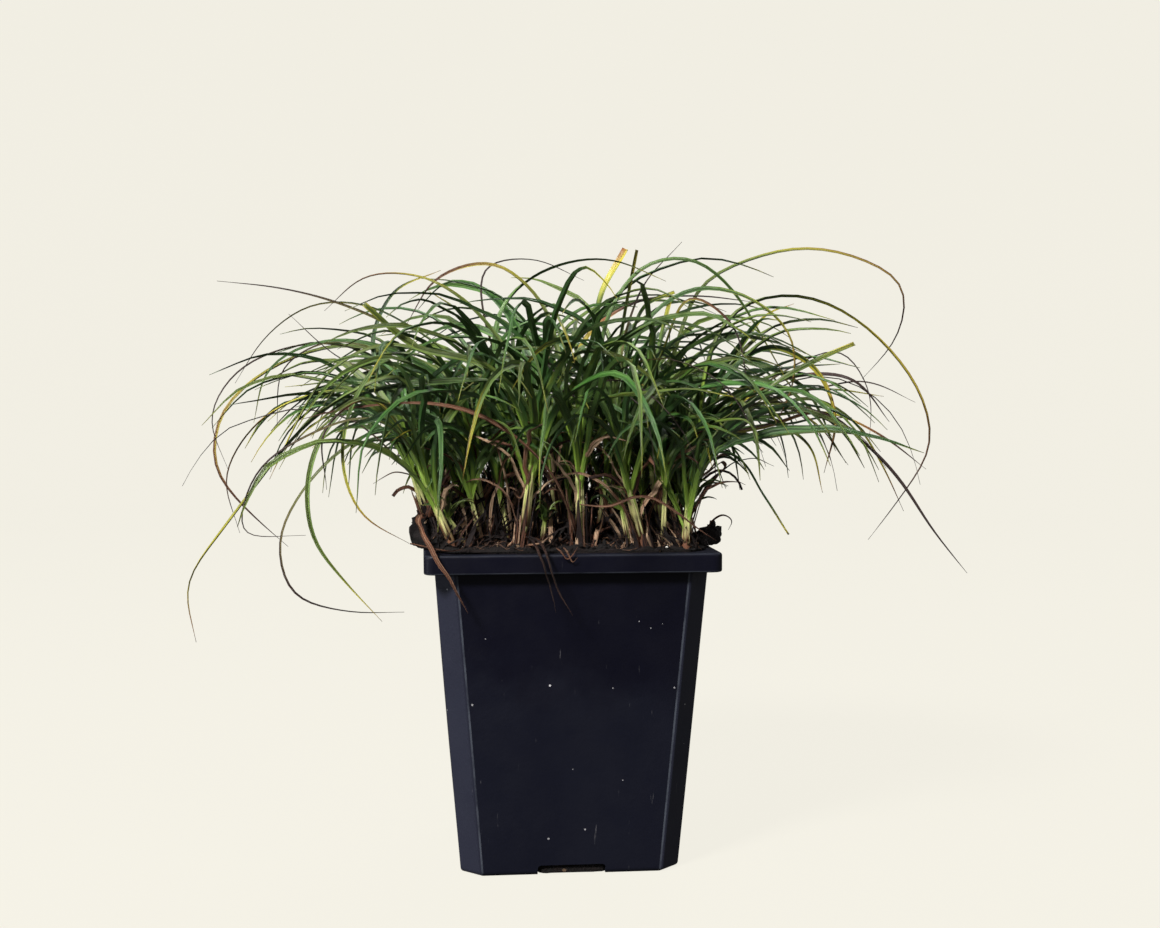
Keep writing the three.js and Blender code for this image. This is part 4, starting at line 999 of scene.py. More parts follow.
def reach_to(half, corner, angle):
    """Distance from the middle to a square outline with cut corners."""
    c, s = np.abs(np.cos(angle)), np.abs(np.sin(angle))
    return np.minimum(half / np.maximum(c, s), (2 * half - corner) / (c + s))


def mouth_reach(angle, z=POT_HEIGHT):
    """Distance from the middle to the edge of the soil inside the pot at a height."""
    return reach_to(body_half(z) - WALL - GAP, CHAMFER, angle)


def soil_rings(sides, rows):
    """Rings of the root ball: inside the pot up to the rim, out over it where the soil bulges,
    round the bulge's edge and in over the crumbly top."""
    angle = 2 * np.pi * np.arange(sides) / sides
    level, shoulder, floor = POT_HEIGHT + GAP, POT_HEIGHT - 0.4, FLOOR + GAP
    edge = mouth_reach(angle, shoulder)
    over = edge + overhang(angle)
    share = np.clip((over - edge) / 4, 0, 1)

    def ring(radius, z):
        x, y = radius * compass(angle).T
        return side_by_side(x, y, z(x, y) if callable(z) else z)

    body = [ring(mouth_reach(angle, z), z) for z in (floor, 30.0, 65.0, shoulder)]
    lip = [ring(edge, level), ring(over - 1.2 * share, level + 0.05)]
    rim = []
    for w in np.linspace(0.12, 1, 7):
        radius = over - 0.8 * share * (1 - w) ** 2 - 0.1 * over * w**2.2 * (w > 0.5) * (2 * w - 1)
        climb = np.sin(w * np.pi / 2)
        rim.append(ring(radius, lambda x, y: between(level + 0.1, ground(x, y), climb)))
    inner = rim[-1]
    reach = np.hypot(inner[:, 0], inner[:, 1])
    top = [ring(reach * q, ground) for q in np.linspace(0.985, 0.02, rows)]
    rings = np.array([*body, *lip, *rim, *top])
    # the bulging edge is crumbly too
    first, last = len(body) + 1, len(body) + len(lip) + len(rim)
    band = rings[first:last]
    noise = lambda cell, salt: lattice_noise(*np.moveaxis(band, -1, 0), cell, salt)
    rough = noise(2.6, 521) + 0.6 * noise(1.3, 522)
    band[..., :2] *= (1 + share[None] * (rough - 0.8) * 3.0 / np.maximum(over, 1)[None])[..., None]
    lumpy = noise(1.9, 523) ** 2
    band[..., 2] += 2.6 * share[None] * lumpy * np.linspace(0, 1, len(band))[:, None]
    return rings


LUMP_TOP = 0.5 * (1 + 5**0.5)


def lumps(out, centre, size, kind, slot=0):
    """Lumps with twenty faces: an icosahedron's corners, pushed in and out by draws, stretched,
    turned about a random axis and set at their centres."""
    g = LUMP_TOP
    corners = np.array(
        [(-1, g, 0), (1, g, 0), (-1, -g, 0), (1, -g, 0), (0, -1, g), (0, 1, g), (0, -1, -g),
         (0, 1, -g), (g, 0, -1), (g, 0, 1), (-g, 0, -1), (-g, 0, 1)]
    ) / math.hypot(1, g)
    faces = np.array(
        [(0, 11, 5), (0, 5, 1), (0, 1, 7), (0, 7, 10), (0, 10, 11), (1, 5, 9), (5, 11, 4),
         (11, 10, 2), (10, 7, 6), (7, 1, 8), (3, 9, 4), (3, 4, 2), (3, 2, 6), (3, 6, 8), (3, 8, 9),
         (4, 9, 5), (2, 4, 11), (6, 2, 10), (8, 6, 7), (9, 8, 1)]
    )
    i = np.arange(len(centre))
    push = 0.72 + 0.56 * chance(i[:, None], np.arange(12), 531)
    stretch = 0.6 + 0.8 * chance(i[:, None], [532, 533, 534])
    points = corners[None] * push[..., None] * stretch[:, None] * size[:, None, None]
    axis = units(chance(i[:, None], [535, 536, 537]) - 0.5)
    points = turned(points, axis[:, None], (chance(i, 538) * 6.28)[:, None]) + centre[:, None]
    at = out.size + 12 * i[:, None, None] + faces
    u = (np.arange(20)[:, None] + [0.1, 0.9, 0.5]) / 20
    v = out.rows + 0.5 + 0.4 * (np.array([0.1, 0.1, 0.9]) - 0.5) + i[:, None, None]
    out.face(at, u, v, slot)
    out.gather(points, corners, kind)


def drawn_kind(i, salt, third=0.0):
    """Two draws and a third number for each row: what a crumb's or a root's material reads."""
    return side_by_side(chance(i, salt), chance(i, salt + 1), third)


def scattered(count, salt, reach=1.0):
    """Random places on the soil: a direction, a distance by the square root of a draw, and the
    ground's height there."""
    i = np.arange(count)
    angle = 2 * np.pi * chance(i, salt)
    over = mouth_reach(angle) + 0.85 * overhang(angle)
    radius = over * reach * np.sqrt(chance(i, salt + 1))
    x, y = radius * compass(angle).T
    return np.column_stack([x, y, ground(x, y)])


def drain_plugs():
    """Soil in the four drain slots: a superellipse roughened by noise, carried from just inside
    the wall to the slot's end."""
    angle = -2 * np.pi * np.arange(40) / 40
    depth = np.array([33.0, 32.4, 30.5, 28.0, 26.2, 25.6])
    size = np.array([0.9, 1.0, 1.0, 1.0, 1.0, 0.9])[:, None]
    squared = lambda wave: np.sign(wave) * np.abs(wave) ** 0.25
    x = 10.4 * squared(np.cos(angle)) * size
    z = 1.6 + 1.4 * squared(np.sin(angle)) * size
    y = np.broadcast_to(-depth[:, None], x.shape)
    y = y + 1.1 * (lattice_noise(x, y, z, 1.6, 525) - 0.5)
    return quarter_turned(x, y, z, np.arange(4)[:, None, None])


def build_soil(settings, soil):
    """The root ball, as a closed surface round the inside of the pot and over the rim."""
    out = Surfaces()
    out.sweep(soil_rings(settings.sides, settings.rows)[None])
    out.sweep(drain_plugs())
    return carried(out.piece("potting_soil", [soil]), "soil", "soil")


def build_crumbs(settings, soil, grain):
    """Loose crumbs of soil and a few white mineral grains on the surface."""
    out = Surfaces()
    # how many, salt, least and most size, power of the size's draw and lift off the soil
    sorts = ((settings.crumbs, 540, 0.35, 1.25, 3, 0.2), (settings.grains, 550, 0.25, 0.6, 2, 0.5))
    for slot, (count, salt, least, most, power, lift) in enumerate(sorts):
        i = np.arange(count)
        size = between(least, most, chance(i, salt + 3) ** power)
        centre = scattered(count, salt + 1) + [0, 0, lift] * size[:, None]
        lumps(out, centre, size, drawn_kind(i, salt + 4, slot), slot)
    # debris that shows in the drain slots
    i = np.arange(70)
    draw = drawer(i)
    centre = quarter_turned(draw(-9, 9, 561), -draw(26.5, 31.5, 562), draw(1.3, 2.4, 563), i % 4)
    kind = drawn_kind(i, 564)
    pale = chance(i, 566) < 0.3
    lumps(out, centre[~pale], between(0.4, 1.0, chance(i[~pale], 567)), kind[~pale], 0)
    lumps(out, centre[pale], between(0.25, 0.5, chance(i[pale], 567)), kind[pale], 1)
    return carried(out.piece("soil_crumbs", [soil, grain]), "soil")


def build_fibres(settings, fibre):
    """Fine roots on the soil: headings swing by random turns, heights by a sine wave."""
    n, rings = settings.fibres, 9
    i = np.arange(n)
    draw = drawer(i)
    start = scattered(n, 571, 0.93)
    turn = (chance(i[:, None], np.arange(rings - 1), 573) - 0.5) * 1.5
    heading = draw(0, 2 * np.pi, 574)[:, None] + np.cumsum(turn, axis=1)
    flat = compass(heading) * draw(0.8, 2.6, 575)[:, None, None]
    xy = np.concatenate([start[:, None, :2], start[:, None, :2] + np.cumsum(flat, axis=1)], 1)
    x, y = xy[..., 0], xy[..., 1]
    angle = np.arctan2(y, x)
    inside = (np.hypot(x, y) < 0.98 * (mouth_reach(angle) + overhang(angle))).all(axis=1)
    wave = np.sin(np.linspace(0, np.pi * 2, rings)[None] * (0.5 + chance(i, 577)[:, None]))
    arch = between(0.2, 2.2, chance(i, 576) ** 2)[:, None] * np.abs(wave)
    radius = between(0.09, 0.26, chance(i, 578) ** 2)[:, None] * np.linspace(1, 0.45, rings)
    out = Surfaces()
    points = side_by_side(x, y, ground(x, y) + 0.05 + arch)
    strands(out, points[inside], radius[inside], drawn_kind(i, 579)[inside], sides=3)
    return carried(out.piece("fine_roots", [fibre]), "soil")


# ---- Shoots, sheaths and litter ----


def with_kinds(b, salt):
    """Gives each blade its look: tone, how far it is browned from the tip, how dusky below, which
    sets how dark the painted shade on its underside is.
    """
    i = np.arange(len(b.width))
    tone = chance(i, salt)
    drawn = np.where(chance(i, salt + 1) < 0.09, 0.3 * chance(i, salt + 2) ** 1.6, 0.03)
    age = np.where(b.own | (b.age > 0.02), b.age, drawn)
    # narrow blades are dark ones that dry out without turning yellow
    narrow = smooth(1.5, 1.1, b.width)
    drying = b.own & (b.age > 0.35) & (b.age < 0.5) & (b.width <= 2.0)
    narrow = np.where(drying, np.maximum(narrow, 0.66), narrow)
    tone = np.where(b.own & b.dead, 0.55, tone)
    dusk = np.maximum(0.7 * chance(i, salt + 3) ** 1.5, narrow)
    b.kind = side_by_side(tone * (1 - 0.8 * narrow), age, dusk)
    return b


def stem(out, shoots, s, slot):
    """The necks of shoots s: slightly three-cornered stalks that narrow up to the last leaf."""
    share = np.linspace(0, 1, 9)
    top = shoots.neck[s][:, None] + 3.5
    height = between(-np.minimum(shoots.sunk[s], 6)[:, None], top, share)
    points = neck_point(shoots, np.repeat(s[:, None], 9, 1), height)
    radius = neck_radius(shoots, s[:, None], np.minimum(height, shoots.neck[s][:, None])) * 0.64
    radius = radius * np.where(share > 0.95, 0.35, 1.0)
    kind = chance(s[:, None], [591, 592, 593])
    strands(out, points, radius, kind, slot, sides=9, level=(0, 1, 0), lobes=0.08, twist=1.0)


def build_shoots(grown, shoots, leaf, stalk, rings):
    """A piece for each shoot: its neck and every green leaf on it."""
    for s in range(len(SHOOTS)):
        own = (grown.s == s) & ~grown.dead
        out = Surfaces()
        stem(out, shoots, np.array([s]), 1)
        ruled = picked(grown, own & ~grown.own)
        add_blades(out, ruled, rings, 0, shoots=shoots)
        long = picked(grown, own & grown.own)
        add_blades(out, long, 2 * rings + 6, 0, shoots=shoots, ripple=0.15, broader=1.0)
        carried(out.piece(f"leafy_shoot_{s + 1:02}", [leaf, stalk]), "leaf", f"shoot_{s + 1:02}")


def build_side_shoots(extra, shoots, leaf, stalk, rings):
    """Thin young shoots beside the main ones, one piece for each quarter of the pot."""
    azimuth = np.degrees(np.arctan2(shoots.foot[:, 1], shoots.foot[:, 0]))
    quarter = (azimuth % 360 // 90).astype(int)
    names = ("back_right", "back_left", "front_left", "front_right")
    for q, name in enumerate(names):
        s = np.flatnonzero((quarter == q) & (np.arange(len(quarter)) >= len(SHOOTS)))
        out = Surfaces()
        stem(out, shoots, s, 1)
        b = picked(extra, quarter[extra.s] == q)
        add_blades(out, b, rings, 0, shoots=shoots)
        carried(out.piece("young_shoots_" + name, [leaf, stalk]), "leaf")


def torn_wraps(out, shoots, s, count, slot):
    """Old sheaths round the foot of shoot s: thin plates curved round the neck over part of a
    turn, their upper edge torn and drawn up to a point, each a little further out."""
    i = np.arange(count)
    columns, rows = 7, 8
    draw = drawer(s, i)
    middle = 2.4 * i + draw(-0.5, 0.5, 601) + s
    span = draw(0.15, 0.9, 602)
    c = np.linspace(-0.5, 0.5, columns)
    angle = middle[:, None] + span[:, None] * c
    top = shoots.collar[s] * draw(0.35, 1.5, 603)
    ragged = 1 - 0.75 * np.abs(2 * c[None] + draw(-0.35, 0.35, 604)[:, None]) ** 1.3
    ragged = ragged + 0.35 * (chance(s, i[:, None], np.arange(columns), 605) - 0.5)
    tall = np.maximum(top[:, None] * ragged, 1.5)
    v = np.linspace(0, 1, rows)[:, None]
    height = between(-2.0, tall[:, None], v)
    girth = 0.75 * neck_radius(shoots, s, height)
    loose = draw(0.3, 1.7, 606)[:, None, None] * (np.maximum(0, height) / 14) ** 1.6
    crinkle = 0.18 * (chance(s, i[:, None, None], np.arange(columns), 607) - 0.5)
    inner = girth + 0.35 + 1.3 * i[:, None, None] / count + loose + crinkle * v
    angle = np.broadcast_to(angle[:, None], height.shape)
    closed = lambda out, back: np.concatenate([out, back[..., ::-1]], -1)
    radius, angle = closed(inner + 0.26, inner), closed(angle, angle)
    height = closed(height, height)
    points = neck_point(shoots, np.full(height.shape, s), height)
    points = points + radius[..., None] * compass(angle, 0)
    place = side_by_side(height / 14, closed(c, c) * 2, np.repeat([1.0, -1.0], columns))
    kind = side_by_side(draw(0, 1, 608) ** 1.8, draw(0, 1, 609), draw(0, 1, 610))
    last = 2 * columns - 1
    caps = [[k, k + 1, last - k - 1, last - k] for k in range(columns - 1)]
    out.sweep(points, place, kind, caps, slot, creases=(0, columns - 1, columns, last))


def build_sheaths(grown, shoots, papery, rings):
    """A piece for each brown sheath: its torn wraps and the dead leaves that hang from it."""
    for s in np.flatnonzero(shoots.sheath):
        out = Surfaces()
        torn_wraps(out, shoots, s, WRAPS, 0)
        dead = picked(grown, (grown.s == s) & grown.dead)
        add_blades(out, dead, 2 * rings, 0, fold=0.4, ripple=0.45, keel=0.28, broader=0.72)
        carried(out.piece(f"brown_sheath_{s + 1:02}", [papery]), "sheath", f"sheath_{s + 1:02}")


def side_shoot_rows(shoots, count):
    """Rows as in SHOOTS for side shoots, each by a main shoot: of eight ways round it, the one
    with most room to all feet inside the rim. Every eighth one is a small one at the front."""
    feet = shoots.foot[:, :2].copy()
    inner, front = (np.flatnonzero((feet[:, 1] > FRONT_ROW) == side) for side in (True, False))
    rows = []
    for k in range(count):
        small = k % 8 == 3
        parent = front[k // 8 * 3 % len(front)] if small else inner[(k * 7 + 1) % len(inner)]
        draw = lambda low, high, salt: float(between(low, high, chance(k, salt))[0])
        ways = draw(0, 6.28, 621) + np.arange(8) * np.pi / 4
        spots = shoots.foot[parent, :2] + draw(4.2, 7.5, 622) * compass(ways)
        room = np.linalg.norm(spots[:, None] - feet[None], axis=2).min(axis=1)
        room[np.abs(spots).max(axis=1) > 35] -= 9
        x, y = np.clip(spots[np.argmax(room)], -FOOT_LIMIT, FOOT_LIMIT)
        feet = np.concatenate([feet, [[x, y]]])
        lean = shoots.axis[parent, :2] / shoots.axis[parent, 2]
        lean = lean + np.array([x, y]) / RIM_HALF * draw(0.05, 0.25, 623)
        neck = draw(7, 12, 624) if small else draw(12, 25, 624)
        rows.append((x, y, *lean, neck, 5, False, int(draw(6, 9.99, 625))))
    return rows


def young_leaves(shoots, first, fill):
    """Leaves of the side shoots by the same rule, and further thin leaves on the main shoots."""
    s = np.repeat(np.arange(first, len(shoots.neck)), shoots.leaves[first:])
    i = np.concatenate([np.arange(n) for n in shoots.leaves[first:]])
    small = np.minimum(1, (shoots.neck[s] / 17) ** 2) * np.where(shoots.foot[s, 1] < -18, 0.7, 1.0)
    draw = drawer(s, i)
    share = np.maximum(draw(0.3, 1.0, 630), 1.3 - small)
    reach = draw(0.45, 0.95, 633) * small
    side = ruled_leaves(shoots, s, i, share=share, steps=6, reach=reach, wide=(1.3, 2.2))
    side.width *= between(0.5, 1.0, np.minimum(1, 1.6 * small))
    s = np.repeat(np.arange(first), fill)
    i = np.tile(np.arange(fill), first) + 40
    inner = 1 - np.hypot(*shoots.foot[s, :2].T) / 60
    kept = chance(s, i, 634) < (0.35 + 1.2 * inner) * np.where(shoots.foot[s, 0] < -20, 0.35, 1.0)
    s, i, inner = s[kept], i[kept], inner[kept]
    share = between(0.6, 1.25, chance(s, i, 631))
    reach = between(0.72, 1.05, np.minimum(1, 2 * inner)) + 0.42 * inner * chance(s, i, 632)
    reach *= np.where(shoots.foot[s, 1] > 10, 0.8, 1.0)
    more = ruled_leaves(shoots, s, i, share=share, steps=7, reach=reach, wide=(1.4, 2.3))
    return joined([side, more])


def sweeping_leaves(shoots, first, count):
    """Broad leaves that rise and then sweep level to the left or the right: their tilt goes past
    the level along an S-curve."""
    k = np.arange(count)
    s = (k * 7 + 2) % first
    draw = drawer(k)
    right = shoots.foot[s, 0] / RIM_HALF + draw(-0.9, 0.9, 681) > 0
    azimuth = np.where(right, 0.0, np.pi) + draw(-1.0, 1.0, 682)
    share = middles(7)
    last = draw(1.55, 2.2, 683)[:, None]
    tilt = between(0.3, 1.25, smooth(0, 0.4, share)) + (last - 1.25) * share**1.5
    heading = azimuth[:, None] + draw(-0.6, 0.6, 684)[:, None] * share
    start = shoots.neck[s] * draw(0.6, 0.95, 685)
    length = draw(66, 100, 686) * np.where(shoots.foot[s, 1] > 10, 0.78, 1.0)
    points = walk(neck_point(shoots, s, start), headed(tilt, heading), length)
    return drawn_blades(points, s, draw, 687, (1.7, 2.7), 0.4, 1.0, 0.12)


def fine_wisps(shoots, first, count):
    """Thin dark old leaves that arch far out."""
    k = np.arange(count)
    s = (k * 11 + 3) % first
    more = ruled_leaves(
        shoots, s, k + 80, share=0.15 * chance(k, 641), steps=7, reach=1.12, wide=(0.45, 0.85)
    )
    more.age[:] = between(0.45, 1.0, chance(k, 642))
    return more


def hanging_leaves(shoots, count):
    """Dead leaves that leave a neck steeply and bend over and down: their tilt grows by a power of
    the share."""
    k = np.arange(count)
    s = (k * 13 + 5) % len(SHOOTS)
    draw = drawer(k)
    share = middles(7)
    tilt = 0.25 + draw(1.2, 2.7, 701)[:, None] * share**1.6
    ahead = np.where(shoots.foot[s, 1] < 0, -np.pi / 2 + draw(-2.2, 2.2, 702), draw(0, 6.28, 702))
    heading = ahead[:, None] + draw(-1.2, 1.2, 703)[:, None] * share
    start = shoots.neck[s] * draw(0.25, 0.85, 704)
    points = walk(neck_point(shoots, s, start), headed(tilt, heading), draw(10, 36, 705))
    points[:, 1:] = above_soil(points[:, 1:])
    b = drawn_blades(points, s, draw, 706, (0.6, 2.2), 0.5, 2.5, 0.4, dead=True, age=1.0)
    b.kind = side_by_side(draw(0.2, 1.2, 710), draw(0, 1, 711), draw(0, 1, 712))
    return picked(b, (np.abs(shoots.foot[s, 0]) < 32) | (chance(k, 713) < 0.3))


def build_litter(settings, shoots, papery):
    """Short dead blades round the shoots' feet: each leans out from a foot and falls over."""
    n = settings.litter
    k = np.arange(n)
    s = k % len(shoots.neck)
    draw = drawer(k)
    azimuth = draw(0, 2 * np.pi, 651)
    near = between(1.0, 9.0, chance(k, 652) ** 1.5)[:, None] * compass(azimuth)
    spot = np.clip(shoots.foot[s, :2] + near, (-RIM_HALF, -FOOT_LIMIT), (42, FOOT_LIMIT))
    # near the rim they lean inwards
    outward = np.arctan2(spot[:, 1], spot[:, 0])
    rim = np.abs(spot).max(axis=1) > 27
    azimuth = np.where(rim, outward + np.pi + draw(-1.2, 1.2, 663), azimuth)
    root = np.column_stack([spot, ground(spot[:, 0], spot[:, 1]) - 0.4])
    share = middles(5)
    upright = chance(k, 653) ** 0.7
    stands = upright[:, None]
    tilt = between(between(1.0, 0.05, stands), between(1.8, 0.45, stands), share)
    heading = azimuth[:, None] + draw(-0.8, 0.8, 654)[:, None] * (share + 0.3)
    middle = 1.6 - np.abs(spot).max(axis=1) / RIM_HALF - 0.7 * (spot[:, 1] < -22)
    points = walk(root, headed(tilt, heading), draw(6, 24, 655) * (0.5 + 1.1 * upright * middle))
    x, y = points[:, 1:, 0], points[:, 1:, 1]
    over = np.maximum(np.abs(x), np.abs(y)) < RIM_HALF + 1.5
    floor = np.where(over, ground(x, y) + 0.3, POT_HEIGHT - 5)
    points[:, 1:, 2] = np.maximum(points[:, 1:, 2], floor)
    b = drawn_blades(points, s, draw, 656, (0, 1), 0.6, 2, 0.5, dead=True, age=1.0)
    # a few are broad and pale
    pale = draw(0, 1, 664) < 0.12
    tone = draw(0, 1, 660) ** 3 * (0.8 - 0.4 * upright) - 0.12
    tone = np.where(pale, draw(0.75, 1.25, 665), tone)
    b.width = np.where(pale, draw(0.8, 2.0, 666), between(0.25, 1.6, b.width**2.2))
    b.kind = side_by_side(tone, draw(0, 1, 661), draw(0, 1, 662))
    out = Surfaces()
    add_blades(out, b, 7, 0, fold=0.45, ripple=0.5, keel=0.2, broader=1.0)
    b = hanging_leaves(shoots, settings.hanging)
    add_blades(out, b, 12, 0, fold=0.5, ripple=0.9, keel=0.24, broader=1.0)
    return carried(out.piece("dead_litter", [papery]), "sheath")


# Loose strands on the soil and the rim: width, lightness and the points x, y, z of their course.
STRANDS = [
    (0.9, 0.55, 1.7, -42, 114.8, 11.2, -43, 113.9, 17.9, -43, 117.5, 25.8, -43, 115.6,
     38.9, -44, 106.2, 42.5, -46, 103.9),
    (1.0, 0.45, -49, -43, 103.6, -39.7, -44.6, 101.6, -33.8, -44.6, 101.9, -32.4, -42, 105),
    (0.6, 0.35, 42.4, -30, 106, 46.2, -30, 110.3, 50.3, -30, 109, 49.6, -28, 105.5),
    (0.8, 0.7, -12.2, -38, 126.4, -14, -38, 121.6, -16.1, -38, 116.2, -18.2, -38, 118.6),
    (0.5, 0.5, -5.5, -43.5, 102, -4.2, -45.9, 100.9, -2.6, -46.0, 98.6, -0.6, -45.9, 100.4,
     0.9, -43.5, 102.2),
    (0.45, 0.6, -3.4, -43.5, 102, -2.4, -45.9, 100.8, -0.9, -46.1, 97.8, 0.6, -46, 99.2),
    (1.3, 0.8, -14, -40, 102.5, -10.0, -44, 103.4, -6.0, -43, 107.1),
]


def build_strands(papery):
    """Loose dead strands with courses of their own."""
    points, count = own_courses([row[2:] for row in STRANDS], 4.0)
    width, light = np.array([row[:2] for row in STRANDS]).T
    draw = drawer(np.arange(len(STRANDS)))
    twist = draw(-1.5, 1.5, 671)
    b = blades(points, 0, width, 0.2, twist, False, dead=True, count=count, age=1.0)
    b.kind = side_by_side(light, draw(0, 1, 672), draw(0, 1, 673))
    out = Surfaces()
    add_blades(out, b, 22, 0, fold=0.3, ripple=0.1, keel=0.3)
    return carried(out.piece("loose_strands", [papery]), "sheath")


# ---- Materials ----


class Nodes:
    """Adds shader nodes to a tree. An input is a number, a colour or another node's output."""

    def __init__(self, tree):
        self.tree = tree

    def add(self, kind, inputs=(), **settings):
        node = self.tree.nodes.new(kind if kind.startswith("Node") else "ShaderNode" + kind)
        for name, value in settings.items():
            setattr(node, name, value)
        for key, value in dict(inputs).items():
            if isinstance(value, bpy.types.NodeSocket):
                self.tree.links.new(value, node.inputs[key])
            else:
                node.inputs[key].default_value = value
        return node

    def math(self, operation, *values, clamp=False):
        node = self.add("Math", enumerate(values), operation=operation, use_clamp=clamp)
        return node.outputs[0]

    def mix(self, factor, a, b):
        return self.add("Mix", {0: factor, 6: a, 7: b}, data_type="RGBA").outputs[2]

    def layered(self, colour, layers):
        """Further colours laid over the first one, each by its own mask."""
        for mask, over in layers:
            colour = self.mix(mask, colour, over)
        return colour

    def rise(self, value, low, high, bottom=0.0, top=1.0):
        """From bottom to top as the value goes from low to high, along an S-curve."""
        limits = {0: value, 1: low, 2: high, 3: bottom, 4: top}
        return self.add("MapRange", limits, interpolation_type="SMOOTHSTEP").outputs[0]

    def times(self, a, b):
        return self.math("MULTIPLY", a, b)

    def line(self, value, slope, start):
        """The value times the slope plus the start."""
        return self.math("MULTIPLY_ADD", value, slope, start)

    def group(self, maker, *values):
        return self.add("Group", enumerate(values), node_tree=maker()).outputs[0]

    def split(self, place):
        return self.add("SeparateXYZ", {0: place}).outputs

    def parts(self, label):
        """The three numbers of one of the mesh's own attributes."""
        node = self.add("Attribute", attribute_name=label, attribute_type="GEOMETRY")
        return self.split(node.outputs["Vector"])

    def streaked(self, seed, length, fineness):
        """Streaks along a blade by its own place."""
        along, across, _ = self.parts("place")
        return self.group(streaks, along, across, seed, length, fineness)

    def here(self):
        return self.add("TexCoord").outputs["Object"]


def effect(name, **inputs):
    """Turns a function that adds nodes to the inputs of a group into the maker of that group. An
    input without a default is a place."""

    def maker_of(mask):
        def maker():
            tree = bpy.data.node_groups.get(name)
            if tree:
                return tree
            tree = bpy.data.node_groups.new(name, "ShaderNodeTree")
            for label, default in inputs.items():
                kind = "NodeSocketVector" if default is None else "NodeSocketFloat"
                socket = tree.interface.new_socket(name=label, in_out="INPUT", socket_type=kind)
                if default is not None:
                    socket.default_value = default
            tree.interface.new_socket(name="Mask", in_out="OUTPUT", socket_type="NodeSocketFloat")
            n = Nodes(tree)
            start = n.add("NodeGroupInput")
            n.add("NodeGroupOutput", {0: mask(n, *start.outputs[: len(inputs)])})
            return tree

        return maker

    return maker_of


@effect("Lengthwise streaks", Along=0.0, Across=0.0, Seed=0.0, Length=4.0, Fineness=4.0)
def streaks(n, along, across, seed, length, fineness):
    """Lengthwise streaks: noise of a blade's own place, drawn out along it, different for each
    blade by its seed."""
    spot = n.add("CombineXYZ", {
        0: n.times(along, length), 1: n.times(across, fineness), 2: n.times(seed, 91.7),
    })
    noise = n.add("TexNoise", {
        "Vector": spot.outputs[0], "Scale": 1.0, "Detail": 1.4, "Roughness": 0.5,
    })
    return n.rise(noise.outputs["Fac"], 0.32, 0.68)


@effect("Grain", Vector=None, Scale=100.0, Low=0.35, High=0.65)
def grain(n, place, scale, low, high):
    """Grain: noise of the place, with its contrast set by a low and a high limit."""
    noise = n.add("TexNoise", {
        "Vector": place, "Scale": scale, "Detail": 4.0, "Roughness": 0.62,
    })
    return n.rise(noise.outputs["Fac"], low, high)


@effect("Specks", Vector=None, Scale=100.0, Size=0.1, Share=0.3)
def specks(n, place, scale, size, share):
    """Specks: small dots at the middles of random cells, in a share of the cells."""
    cells = n.add("TexVoronoi", {"Vector": place, "Scale": scale})
    draw = n.add("SeparateColor", {0: cells.outputs["Color"]})
    size = n.times(size, n.math("ADD", draw.outputs[1], 0.3))
    dot = n.math("LESS_THAN", cells.outputs["Distance"], size)
    return n.times(dot, n.math("LESS_THAN", draw.outputs[0], share))


def emptied(name):
    """A material of this name with no nodes yet, and the adder of its nodes."""
    material = bpy.data.materials.get(name) or bpy.data.materials.new(name)
    material.use_nodes = True
    material.node_tree.nodes.clear()
    return material, Nodes(material.node_tree)


def finish(name, colour, roughness, height=None, depth=0.0, specular=0.5):
    """A material from its parts: colour, roughness and height are functions that add the nodes."""
    material, n = emptied(name)
    parts = {"Base Color": colour(n), "Roughness": roughness(n), "Specular IOR Level": specular}
    if height:
        bump = n.add("Bump", {"Strength": 1.0, "Distance": depth, "Height": height(n)})
        parts["Normal"] = bump.outputs[0]
    shader = n.add("BsdfPrincipled", parts)
    n.add("OutputMaterial", {0: shader.outputs[0]})
    return material


